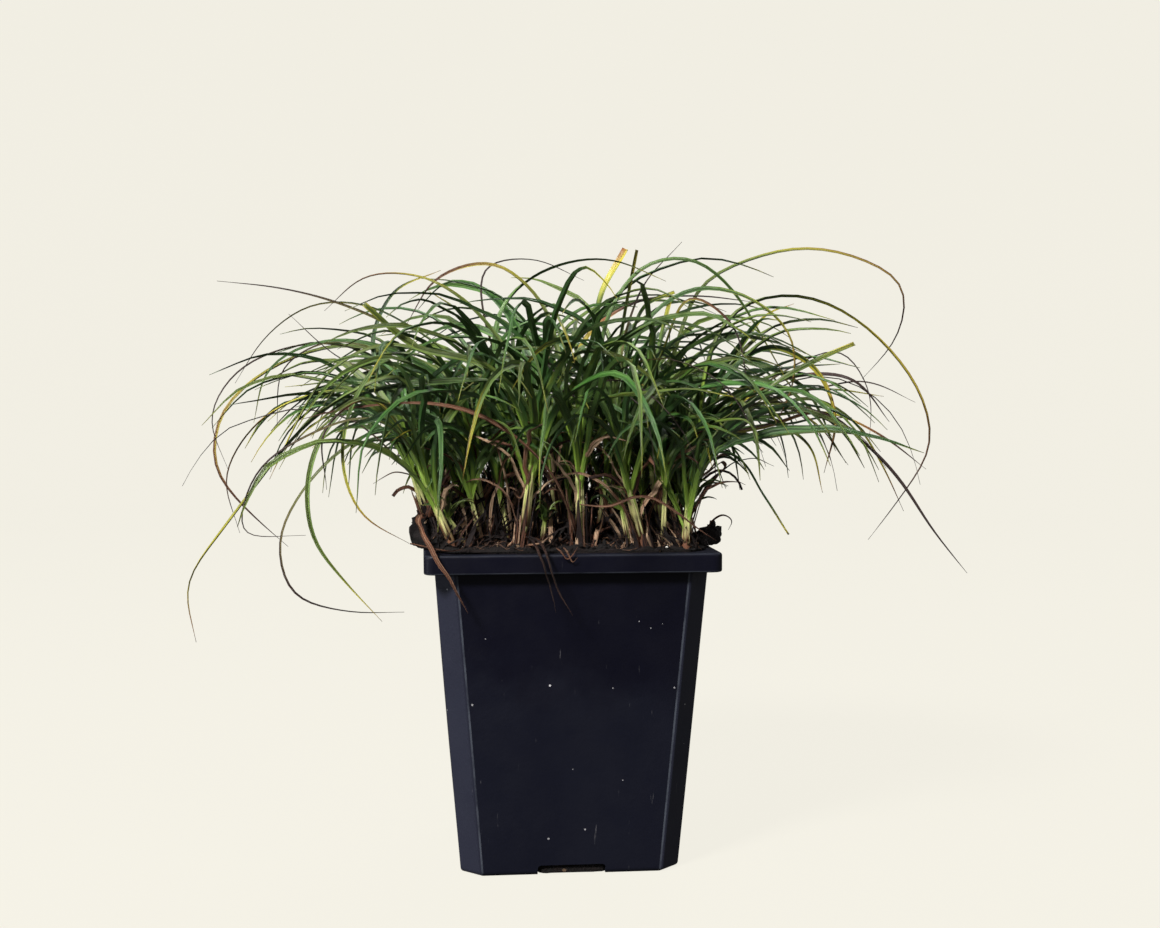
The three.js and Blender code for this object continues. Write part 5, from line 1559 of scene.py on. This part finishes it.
def leaf_material(plant):
    """Green blades: darker and lighter by blade and streaks, pale veins, painted shade along the
    middle and on the undersides, dusky on some undersides, yellower towards the neck and painted
    brighter there, and browned from the tip."""

    def colour(n):
        along, across, side = n.parts("place")
        tone, age, dusk = n.parts("kind")
        lines, fine = n.streaked(tone, 1.8, 1.7), n.streaked(dusk, 6.0, 4.6)
        light = n.math("MULTIPLY_ADD", tone, 0.6, n.line(lines, 0.75, -0.2), clamp=True)
        shadow = n.mix(n.rise(dusk, 0.72, 0.9), plant.leaf_under_shade, plant.leaf_dusk)
        middle = n.rise(n.math("ABSOLUTE", across), 0.3, 0.0)
        wavy = n.line(lines, 0.14, n.math("SUBTRACT", along, 0.07))
        start = n.math("SUBTRACT", 1.02, n.times(age, 1.08))
        past = n.line(lines, 0.2, n.math("SUBTRACT", along, n.math("ADD", start, 0.1)))
        dark = n.rise(dusk, 0.55, 0.8)
        yellow = n.mix(n.times(dark, 0.85), plant.leaf_yellow, plant.leaf_dead)
        return n.layered(n.mix(light, plant.leaf_dark, plant.leaf_light), (
            (n.times(n.rise(fine, 0.5, 0.95), 0.45), plant.leaf_vein),
            # some blades are more olive
            (n.rise(dusk, 0.1, 0.6, 0.0, 0.13), plant.leaf_yellow),
            # the underside: painted shade, darkest on the dusky ones
            (n.times(n.rise(side, 0.02, -0.02), 0.65), shadow),
            # darker along the middle, at the groove and the keel: painted shade in the fold
            (n.times(middle, 0.6), plant.leaf_dark),
            # towards the neck: the pale young base, painted brighter than its own colour to stand
            # in for light through the blade and to lift the shade low in the tuft
            (n.times(n.rise(wavy, 0.24, 0.0), 0.85), plant.leaf_young_lit),
            (n.times(n.rise(wavy, 0.0, -0.16), 0.85), plant.leaf_base_lit),
            (n.rise(n.line(tone, 0.2, along), -0.06, -0.24), plant.leaf_foot),
            # browned from the tip: yellow, orange brown and near black, without the first two
            # where the blade is dusky
            (n.rise(past, -0.06, 0.14), yellow),
            (n.rise(past, 0.12, 0.26), n.mix(dark, plant.leaf_brown, plant.leaf_dead)),
            (n.rise(past, 0.22, 0.4), plant.leaf_dead),
        ))

    def roughness(n):
        tone, age, _ = n.parts("kind")
        wear_and_highlight = n.line(age, 0.15, plant.leaf_roughness)
        return n.line(n.streaked(tone, 8.0, 5.0), 0.2, wear_and_highlight)

    ribs = lambda n: n.streaked(0.3, 2.0, 11.0)
    return finish("sedge_leaf", colour, roughness, ribs, 0.00008, 0.55)


def stalk_material(plant):
    """Stem bases: cream, greener above, both painted brighter than their own colour to stand in
    for light through them and to lift the shade low in the tuft, stained red-brown at the foot,
    with fine streaks.
    """

    def colour(n):
        along, across, side = n.parts("place")
        tone, stain, _ = n.parts("kind")
        around = n.math("ADD", across, n.times(side, 1.7))
        lines = n.group(streaks, along, around, tone, 2.5, 3.5)
        low = n.line(lines, 0.18, n.line(stain, -0.25, along))
        return n.layered(plant.leaf_base_lit, (
            (n.times(lines, 0.6), plant.leaf_young_lit),
            (n.rise(along, 0.35, 1.0), plant.leaf_young_lit),
            (n.rise(low, 0.5, 0.2), plant.leaf_foot),
        ))

    return finish("sedge_stalk", colour, lambda n: 0.5)


def papery_material(plant):
    """Dead sheaths and leaves: from dark brown to straw by piece, streaked lengthwise, with torn
    dark patches."""

    def colour(n):
        along, _, _ = n.parts("place")
        tone, stain, _ = n.parts("kind")
        lines, fine = n.streaked(tone, 2.2, 4.0), n.streaked(stain, 7.0, 10.0)
        light = n.math("ADD", tone, n.line(lines, 0.48, -0.33), clamp=True)
        return n.layered(plant.sheath_dark, (
            (n.rise(light, 0.0, 0.55), plant.sheath_brown),
            (n.rise(light, 0.5, 1.0), plant.sheath_straw),
            (n.times(fine, 0.35), plant.sheath_dark),
            (n.rise(along, 0.7, 1.0, 0.0, 0.35), plant.sheath_dark),
        ))

    ribs = lambda n: n.streaked(n.parts("kind")[0], 3.0, 9.0)
    return finish("dead_sheath", colour, lambda n: 0.72, ribs, 0.0002, 0.35)


def soil_material(earth):
    """Potting soil: near black with brown and lighter crumbs, rough and dull."""

    def colour(n):
        here = n.here()
        return n.layered(earth.dark, (
            (n.group(grain, here, 260.0, 0.4, 0.68), earth.brown),
            (n.times(n.group(grain, here, 1100.0, 0.45, 0.7), 0.6), earth.brown),
            (n.group(specks, here, 420.0, 0.22, 0.16), earth.light),
        ))

    height = lambda n: n.group(grain, n.here(), 1500.0, 0.2, 0.8)
    return finish("potting_soil", colour, lambda n: 0.9, height, 0.0004, 0.3)


def grain_material(earth):
    """White mineral grains, dirty in places."""

    def colour(n):
        dirt = n.group(grain, n.here(), 900.0, 0.45, 0.62)
        return n.mix(n.times(dirt, 0.7), earth.grain, earth.brown)

    return finish("white_grain", colour, lambda n: 0.8)


def fibre_material(earth):
    """Fine roots: red-brown to near black by strand."""

    def colour(n):
        tone, _, _ = n.parts("kind")
        light = n.times(n.math("POWER", tone, 2.6), 0.9)
        light = n.line(n.streaked(tone, 5.0, 1.0), 0.3, light)
        return n.mix(light, earth.root_dark, earth.root)

    return finish("fine_root", colour, lambda n: 0.7, specular=0.3)


def plastic_material(pot):
    """Recycled black plastic with a blue cast: paler and duller low on the walls, faint smears,
    pale specks and short scratches; painted highlights on the cut corners, in lines along the
    edges and along the rim's top."""

    # Paler and duller low on the walls, and a painted highlight along the rim's rounded top edge.
    def pale_and_highlit(n):
        here = n.here()
        _, _, z = n.split(here)
        cloud = n.group(grain, here, 26.0, 0.35, 0.7)
        low = n.rise(n.line(cloud, -0.012, z), 0.062, 0.046)
        # the rim's rounded top edge, painted paler as a highlight
        rim = n.rise(z, 0.0992, 0.0998)
        return n.math("MAXIMUM", n.times(low, n.line(cloud, 0.25, 0.75)), n.times(rim, 0.8))

    def wear_and_highlight(n):
        """From how far past the ridge of a cut corner a place is: masks of the painted highlight
        on the cut corners, and of painted highlight lines along their ridges and the rim's lower
        and upper edges.
        """
        x, y, z = n.split(n.here())
        out = n.math("ADD", n.math("ABSOLUTE", x), n.math("ABSOLUTE", y))
        slope = 2 * (BODY_HALF_TOP - BODY_HALF_BASE) / (POT_HEIGHT - RIM_DROP)
        past = n.math("SUBTRACT", out, n.line(z, slope, (2 * BODY_HALF_BASE - CHAMFER) * MM))
        body = n.rise(z, 0.0938, 0.0934)
        # the cut corners, painted lighter as a highlight
        cut = n.times(n.rise(past, -0.0012, -0.0006), body)
        # thin painted highlight lines: along each cut's ridge, and the rim's lower and upper edges
        ridge = n.math("COMPARE", past, -0.00085, 0.00028)
        skirt = n.math("COMPARE", z, (POT_HEIGHT - RIM_DROP + 0.35) * MM, 0.00022)
        top = n.math("COMPARE", z, (POT_HEIGHT - 0.25) * MM, 0.0002)
        edges = n.line(top, 0.2, n.times(skirt, 0.6))
        return cut, n.math("MAXIMUM", n.times(ridge, body), edges)

    def colour(n):
        here = n.here()
        cut, edges = wear_and_highlight(n)
        # noise that breaks up the painted highlight lines
        patchy = n.line(n.group(grain, here, 120.0, 0.3, 0.6), 0.55, 0.2)
        drawn_out = n.add("Mapping", {
            "Vector": here, "Rotation": (0.4, 0.9, 0.5), "Scale": (1.0, 1.0, 0.045),
        })
        scratch = n.group(grain, drawn_out.outputs[0], 900.0, 0.69, 0.75)
        return n.layered(pot.colour, (
            # paler and duller low on the walls, and the painted highlight along the rim's top
            (n.times(pale_and_highlit(n), pot.pale_and_highlit_amount), pot.pale_and_highlit),
            # painted highlights: on the cut corners, then the lines along the edges
            (n.times(cut, 0.75), pot.wear_and_highlight),
            (n.times(edges, patchy), pot.edge),
            (n.times(n.group(grain, here, 55.0, 0.5, 0.75), 0.14), pot.pale_and_highlit),
            (n.times(scratch, 0.1), pot.speck),
            (n.times(n.group(specks, here, 85.0, 0.028, 0.6), 0.9), pot.speck),
            (n.times(n.group(specks, here, 260.0, 0.07, 0.22), 0.45), pot.speck),
        ))

    def roughness(n):
        cloud = n.group(grain, n.here(), 70.0, 0.3, 0.7)
        return n.line(cloud, 0.12, n.line(pale_and_highlit(n), 0.12, pot.roughness))

    height = lambda n: n.group(grain, n.here(), 700.0, 0.2, 0.8)
    return finish("pot_plastic", colour, roughness, height, 0.00003, 0.17)


def floor_material(stage):
    """The studio floor: an even pale tone with soft shadows, dimmer for other rays than the
    camera's, so that it doesn't flood the plant from below."""
    material, n = emptied("studio_floor")
    cloud = n.group(grain, n.here(), 3.0, 0.3, 0.7)
    tint = n.mix(n.times(cloud, 0.03), stage.floor, (0.8, 0.78, 0.7, 1.0))
    path = n.add("LightPath")
    strength = n.line(path.outputs["Is Camera Ray"], stage.even - stage.bounce, stage.bounce)
    even = n.add("Emission", {"Color": tint, "Strength": strength})
    matt = n.add("BsdfDiffuse", {"Color": n.mix(0.97, tint, (0.0, 0.0, 0.0, 1.0))})
    both = n.add("AddShader", {0: even.outputs[0], 1: matt.outputs[0]})
    n.add("OutputMaterial", {0: both.outputs[0]})
    return material


# ---- Settings ----


def Tint(name, description, *rgb):
    """A colour that the user can change."""
    return bpy.props.FloatVectorProperty(
        name=name, description=description, default=(*rgb, 1.0), size=4, min=0.0, max=1.0,
        subtype="COLOR",
    )


def Number(name, description, value, least=0.0, **rest):
    """A number that the user can change."""
    return bpy.props.FloatProperty(
        name=name, description=description, default=value, min=least, **rest
    )


def Radius(name, description, value):
    return Number(name, description, value, precision=5, unit="LENGTH")


def Angle(name, description, value):
    return Number(name, description, value, -math.pi, unit="ROTATION")


def Share(name, description, value):
    return Number(name, description, value, max=1.0, subtype="FACTOR")


def Count(name, description, value, least=1):
    return bpy.props.IntProperty(name=name, description=description, default=value, min=least)


class SedgePotSettings(bpy.types.PropertyGroup):
    """Sizes and colours of the pot."""

    edge_rounding: Radius("Edge rounding", "Radius of the rim's upper edge", 0.8 * MM)
    corner_softness: Radius("Corner softness", "Radius where a cut corner meets a wall", 0.9 * MM)
    colour: Tint("Plastic", "Colour of the clean plastic", 0.0022, 0.0023, 0.007)
    # paler plastic: low on the walls, in faint smears, and as the painted highlight along the
    # rim's top
    pale_and_highlit: Tint("Dust", "Colour of the dull dusty plastic", 0.0042, 0.005, 0.0115)
    speck: Tint("Specks", "Colour of pale specks and scratches", 0.5, 0.49, 0.52)
    # the painted highlight on the cut corners
    wear_and_highlight: Tint("Cut corners", "Colour of the rubbed cut corners", 0.017, 0.0185, 0.032)
    # the painted highlight lines along the edges
    edge: Tint("Edges", "Colour of worn edges", 0.06, 0.068, 0.088)
    # how strongly the walls are paler low down and the rim's top takes its painted highlight
    pale_and_highlit_amount: Share("Dust amount", "How strongly dust covers the lower walls", 0.85)
    roughness: Share("Roughness", "Roughness of the clean plastic", 0.36)


class SedgeSoilSettings(bpy.types.PropertyGroup):
    """Sizes and colours of the soil and what lies on it."""

    sides: Count("Sides", "Points round the root ball", 264, 32)
    rows: Count("Rows", "Rings from the rim in to the middle of the soil", 66, 8)
    crumbs: Count("Crumbs", "Loose crumbs on the soil", 1500)
    grains: Count("White grains", "Mineral grains on the soil", 46)
    fibres: Count("Fine roots", "Fine roots that lie on the soil", 520)
    dark: Tint("Dark soil", "Colour of most of the soil", 0.0018, 0.001, 0.0013)
    brown: Tint("Brown soil", "Colour of the lighter crumbs", 0.0068, 0.003, 0.0031)
    light: Tint("Light specks", "Colour of wood specks in the soil", 0.12, 0.075, 0.045)
    grain: Tint("White grain", "Colour of the mineral grains", 0.72, 0.7, 0.66)
    root: Tint("Light root", "Colour of the lightest fine roots", 0.24, 0.13, 0.075)
    root_dark: Tint("Dark root", "Colour of the darkest fine roots", 0.022, 0.0095, 0.01)


class SedgePlantSettings(bpy.types.PropertyGroup):
    """Numbers and colours of the plant."""

    rings: Count("Rings", "Cross-sections along a leaf", 16, 6)
    young_shoots: Count("Young shoots", "Thin shoots beside the main ones", 32)
    fill: Count("More leaves", "Further leaves on each main shoot", 4, 0)
    sweeps: Count("Sweeping leaves", "Broad leaves that sweep level to the sides", 15, 0)
    wisps: Count("Wisps", "Thin old leaves that arch far out", 20, 0)
    litter: Count("Litter", "Short dead blades round the feet", 1600)
    hanging: Count("Hanging leaves", "Dead leaves that hang from the necks", 120)
    leaf_roughness: Share("Leaf roughness", "Roughness of a fresh leaf", 0.3)
    leaf_dark: Tint("Dark leaf", "Green of the darkest blades", 0.0085, 0.034, 0.005)
    leaf_light: Tint("Light leaf", "Green of the lightest blades", 0.037, 0.12, 0.017)
    leaf_vein: Tint("Veins", "Green of the veins", 0.13, 0.235, 0.07)
    # painted shade on the undersides, going to the dusky colour on some
    leaf_under_shade: Tint("Underside", "Green of the undersides", 0.018, 0.053, 0.012)
    leaf_dusk: Tint("Dusky underside", "Colour of the darkest undersides", 0.014, 0.011, 0.012)
    # pale yellow-green, painted brighter to stand in for light through the blade and to lift the
    # shade low down
    leaf_young_lit: Tint("Young leaf", "Colour of a blade's lower part", 0.25, 0.4, 0.048)
    # cream, painted brighter to lift the shade low in the tuft
    leaf_base_lit: Tint("Leaf base", "Colour where a blade clasps the stem", 0.82, 0.76, 0.37)
    leaf_foot: Tint("Stem foot", "Stain at the foot of the stems", 0.15, 0.062, 0.034)
    leaf_yellow: Tint("Yellowed", "Where a blade starts to die", 0.42, 0.37, 0.028)
    leaf_brown: Tint("Browned", "Where a blade has turned brown", 0.24, 0.095, 0.03)
    leaf_dead: Tint("Dead tip", "Colour of dead tips", 0.028, 0.013, 0.011)
    sheath_dark: Tint("Dark sheath", "Darkest dead sheaths", 0.0095, 0.004, 0.0043)
    sheath_brown: Tint("Brown sheath", "Usual dead sheaths", 0.2, 0.078, 0.041)
    sheath_straw: Tint("Straw sheath", "Lightest dead sheaths", 0.72, 0.49, 0.32)


class SedgeStageSettings(bpy.types.PropertyGroup):
    """Camera, floor and lights."""

    lens: Number("Lens", "Focal length of the camera", 49.28, 1.0, unit="CAMERA")
    place: bpy.props.FloatVectorProperty(
        name="Camera place", description="Where the camera stands", size=3,
        default=(-0.0454, -0.5148, 0.1484), subtype="TRANSLATION",
    )
    turn: Angle("Turn", "How far the camera turns to the right of straight ahead", 0.0994)
    dip: Angle("Dip", "How far the camera looks below the horizon", 0.0452)
    floor: Tint("Floor", "Colour of the floor and the backdrop", 0.88, 0.855, 0.768)
    even: Share("Even light", "Share of the floor's tone that takes no shadow", 0.982)
    bounce: Share("Bounce", "How brightly the floor lights the plant", 0.12)
    key: Number("Key light", "Power of the main light", 85.0, unit="POWER")
    fill: Number("Fill light", "Power of the soft light from the right", 6.0, unit="POWER")
    side: Number("Side light", "Power of the soft light from the left", 14.0, unit="POWER")
    back: Number("Back light", "Power of the light from above and behind", 12.0, unit="POWER")


# ---- Operators ----

PLANTS = {}


def grown_plant(settings):
    """The main shoots with the plain model's blades, then the young shoots, extra leaves and
    wisps, bent clear of them. Worked out once for the settings that count."""
    key = (settings.young_shoots, settings.fill, settings.sweeps, settings.wisps)
    if key not in PLANTS:
        main = plant_shoots(SHOOTS)
        grown = grow(main)
        rows = SHOOTS + side_shoot_rows(main, settings.young_shoots)
        shoots = plant_shoots(rows)
        shoots.girth[len(SHOOTS):] = YOUNG_GIRTH
        young = joined([young_leaves(shoots, len(SHOOTS), settings.fill),
                        sweeping_leaves(shoots, len(SHOOTS), settings.sweeps),
                        fine_wisps(shoots, len(SHOOTS), settings.wisps)])
        young.points[:, 1:] = above_soil(young.points[:, 1:])
        held = len(grown.width)
        both = bend_clear(joined([grown, young]), shoots, 30, held)
        both = with_kinds(both, 581)
        both.blunt &= both.own
        PLANTS[key] = (shoots, picked(both, slice(0, held)), picked(both, slice(held, None)))
    return PLANTS[key]


class SEDGE_OT_pot(bpy.types.Operator):
    """Build the square pot with its rim band, cut corners and drain slots"""

    bl_idname = "sedge.pot"
    bl_label = "Pot"

    def execute(self, context):
        clear_pieces("pot_shell")
        settings = context.scene.sedge_pot
        build_pot(settings, plastic_material(settings))
        return {"FINISHED"}


class SEDGE_OT_soil(bpy.types.Operator):
    """Build the root ball with its crumbs, white grains and fine roots"""

    bl_idname = "sedge.soil"
    bl_label = "Soil"

    def execute(self, context):
        clear_pieces("potting_soil", "soil_crumbs", "fine_roots")
        settings = context.scene.sedge_soil
        soil = soil_material(settings)
        build_soil(settings, soil)
        build_crumbs(settings, soil, grain_material(settings))
        build_fibres(settings, fibre_material(settings))
        return {"FINISHED"}


class SEDGE_OT_shoots(bpy.types.Operator):
    """Build the main shoots and the thin young ones beside them, each with its neck and leaves"""

    bl_idname = "sedge.shoots"
    bl_label = "Leafy shoots"

    def execute(self, context):
        clear_pieces("leafy_shoot", "young_shoots")
        settings = context.scene.sedge_plant
        shoots, grown, extra = grown_plant(settings)
        leaf, stalk = leaf_material(settings), stalk_material(settings)
        main = extra.s < len(SHOOTS)
        build_shoots(joined([grown, picked(extra, main)]), shoots, leaf, stalk, settings.rings)
        build_side_shoots(picked(extra, ~main), shoots, leaf, stalk, settings.rings)
        return {"FINISHED"}


class SEDGE_OT_sheaths(bpy.types.Operator):
    """Build the torn brown sheaths with their dead leaves, and the loose dead litter"""

    bl_idname = "sedge.sheaths"
    bl_label = "Sheaths and litter"

    def execute(self, context):
        clear_pieces("brown_sheath", "dead_litter", "loose_strands")
        settings = context.scene.sedge_plant
        shoots, grown, _ = grown_plant(settings)
        papery = papery_material(settings)
        main = plant_shoots(SHOOTS)
        build_sheaths(grown, main, papery, settings.rings)
        build_litter(settings, shoots, papery)
        build_strands(papery)
        return {"FINISHED"}


def area_light(name, place, aim, size, power, colour):
    """A square lamp that faces a point at a height above the middle."""
    name = "studio_" + name
    data = bpy.data.lights.new(name, "AREA")
    data.size, data.energy, data.color = size, power, colour
    lamp = bpy.data.objects.new(name, data)
    lamp.location = place
    way = Vector((0, 0, aim)) - lamp.location
    lamp.rotation_euler = way.to_track_quat("-Z", "Y").to_euler()
    bpy.context.scene.collection.objects.link(lamp)


class SEDGE_OT_stage(bpy.types.Operator):
    """Build the pale floor with its raised edge, the lights, the sky and the camera"""

    bl_idname = "sedge.stage"
    bl_label = "Studio"

    def execute(self, context):
        clear_pieces("studio")
        scene, settings = context.scene, context.scene.sedge_stage
        # a dish: flat, then a quarter turn up and a wall
        flat, bend, wall = 1400, 1000, 2600
        turn = np.linspace(0, np.pi / 2, 13)
        radius = np.concatenate([[0.01, flat / 2], flat + bend * np.sin(turn), [flat + bend]])
        height = np.concatenate([[0, 0], bend - bend * np.cos(turn), [wall]])
        angle = 2 * np.pi * np.arange(96) / 96
        across = radius[:, None]
        points = side_by_side(across * np.cos(angle), across * np.sin(angle), height[:, None])
        dish = Surfaces()
        dish.sweep(points[::-1][None], caps=[])
        dish.piece("studio_floor", [floor_material(settings)])
        area_light("key", (-0.95, -1.15, 1.35), 0.1, 0.34, settings.key, (1, 0.98, 0.93))
        area_light("fill", (1.5, -1.1, 0.9), 0.1, 1.2, settings.fill, (0.92, 0.96, 1))
        area_light("side", (-1.7, -0.35, 0.2), 0.1, 0.8, settings.side, (0.9, 0.95, 1))
        area_light("back", (0.5, 1.1, 1.5), 0.12, 0.9, settings.back, (1, 1, 1))
        world = bpy.data.worlds.new("studio_sky")
        world.use_nodes = True
        world.node_tree.nodes.clear()
        n = Nodes(world.node_tree)
        path = n.add("LightPath")
        colour = n.mix(path.outputs["Is Camera Ray"], (0.108, 0.113, 0.118, 1), settings.floor)
        sky = n.add("Background", {"Color": colour, "Strength": 1.0})
        n.add("OutputWorld", {0: sky.outputs[0]})
        scene.world = world
        scene.view_settings.view_transform = "Standard"
        camera = bpy.data.cameras.new("studio_camera")
        camera.lens, camera.sensor_width, camera.sensor_fit = settings.lens, 36.0, "HORIZONTAL"
        camera.clip_start, camera.clip_end = 0.01, 20.0
        viewer = bpy.data.objects.new("studio_camera", camera)
        viewer.location = settings.place
        viewer.rotation_euler = (math.pi / 2 - settings.dip, 0.0, -settings.turn)
        scene.collection.objects.link(viewer)
        scene.camera = viewer
        return {"FINISHED"}


OPERATORS = (SEDGE_OT_pot, SEDGE_OT_soil, SEDGE_OT_shoots, SEDGE_OT_sheaths, SEDGE_OT_stage)


class SEDGE_PT_panel(bpy.types.Panel):
    """Lists the pieces of the potted sedge"""

    bl_idname = "SEDGE_PT_panel"
    bl_label = "Potted sedge"
    bl_space_type = "VIEW_3D"
    bl_region_type = "UI"
    bl_category = "Sedge"

    def draw(self, context):
        for operator in OPERATORS:
            self.layout.operator(operator.bl_idname)
        for group in GROUPS:
            box = self.layout.box()
            box.label(text=group.replace("sedge_", "").capitalize())
            settings = getattr(context.scene, group)
            for name in settings.__annotations__:
                box.prop(settings, name)


GROUPS = {
    "sedge_pot": SedgePotSettings,
    "sedge_soil": SedgeSoilSettings,
    "sedge_plant": SedgePlantSettings,
    "sedge_stage": SedgeStageSettings,
}


def register():
    for kind in (*GROUPS.values(), *OPERATORS, SEDGE_PT_panel):
        bpy.utils.register_class(kind)
    for name, kind in GROUPS.items():
        setattr(bpy.types.Scene, name, bpy.props.PointerProperty(type=kind))


def unregister():
    for name in GROUPS:
        delattr(bpy.types.Scene, name)
    for kind in reversed((*GROUPS.values(), *OPERATORS, SEDGE_PT_panel)):
        bpy.utils.unregister_class(kind)


def main():
    """Builds every piece."""
    register()
    for operator in OPERATORS:
        group, name = operator.bl_idname.split(".")
        getattr(getattr(bpy.ops, group), name)()
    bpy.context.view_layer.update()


if __name__ == "__main__":
    main()
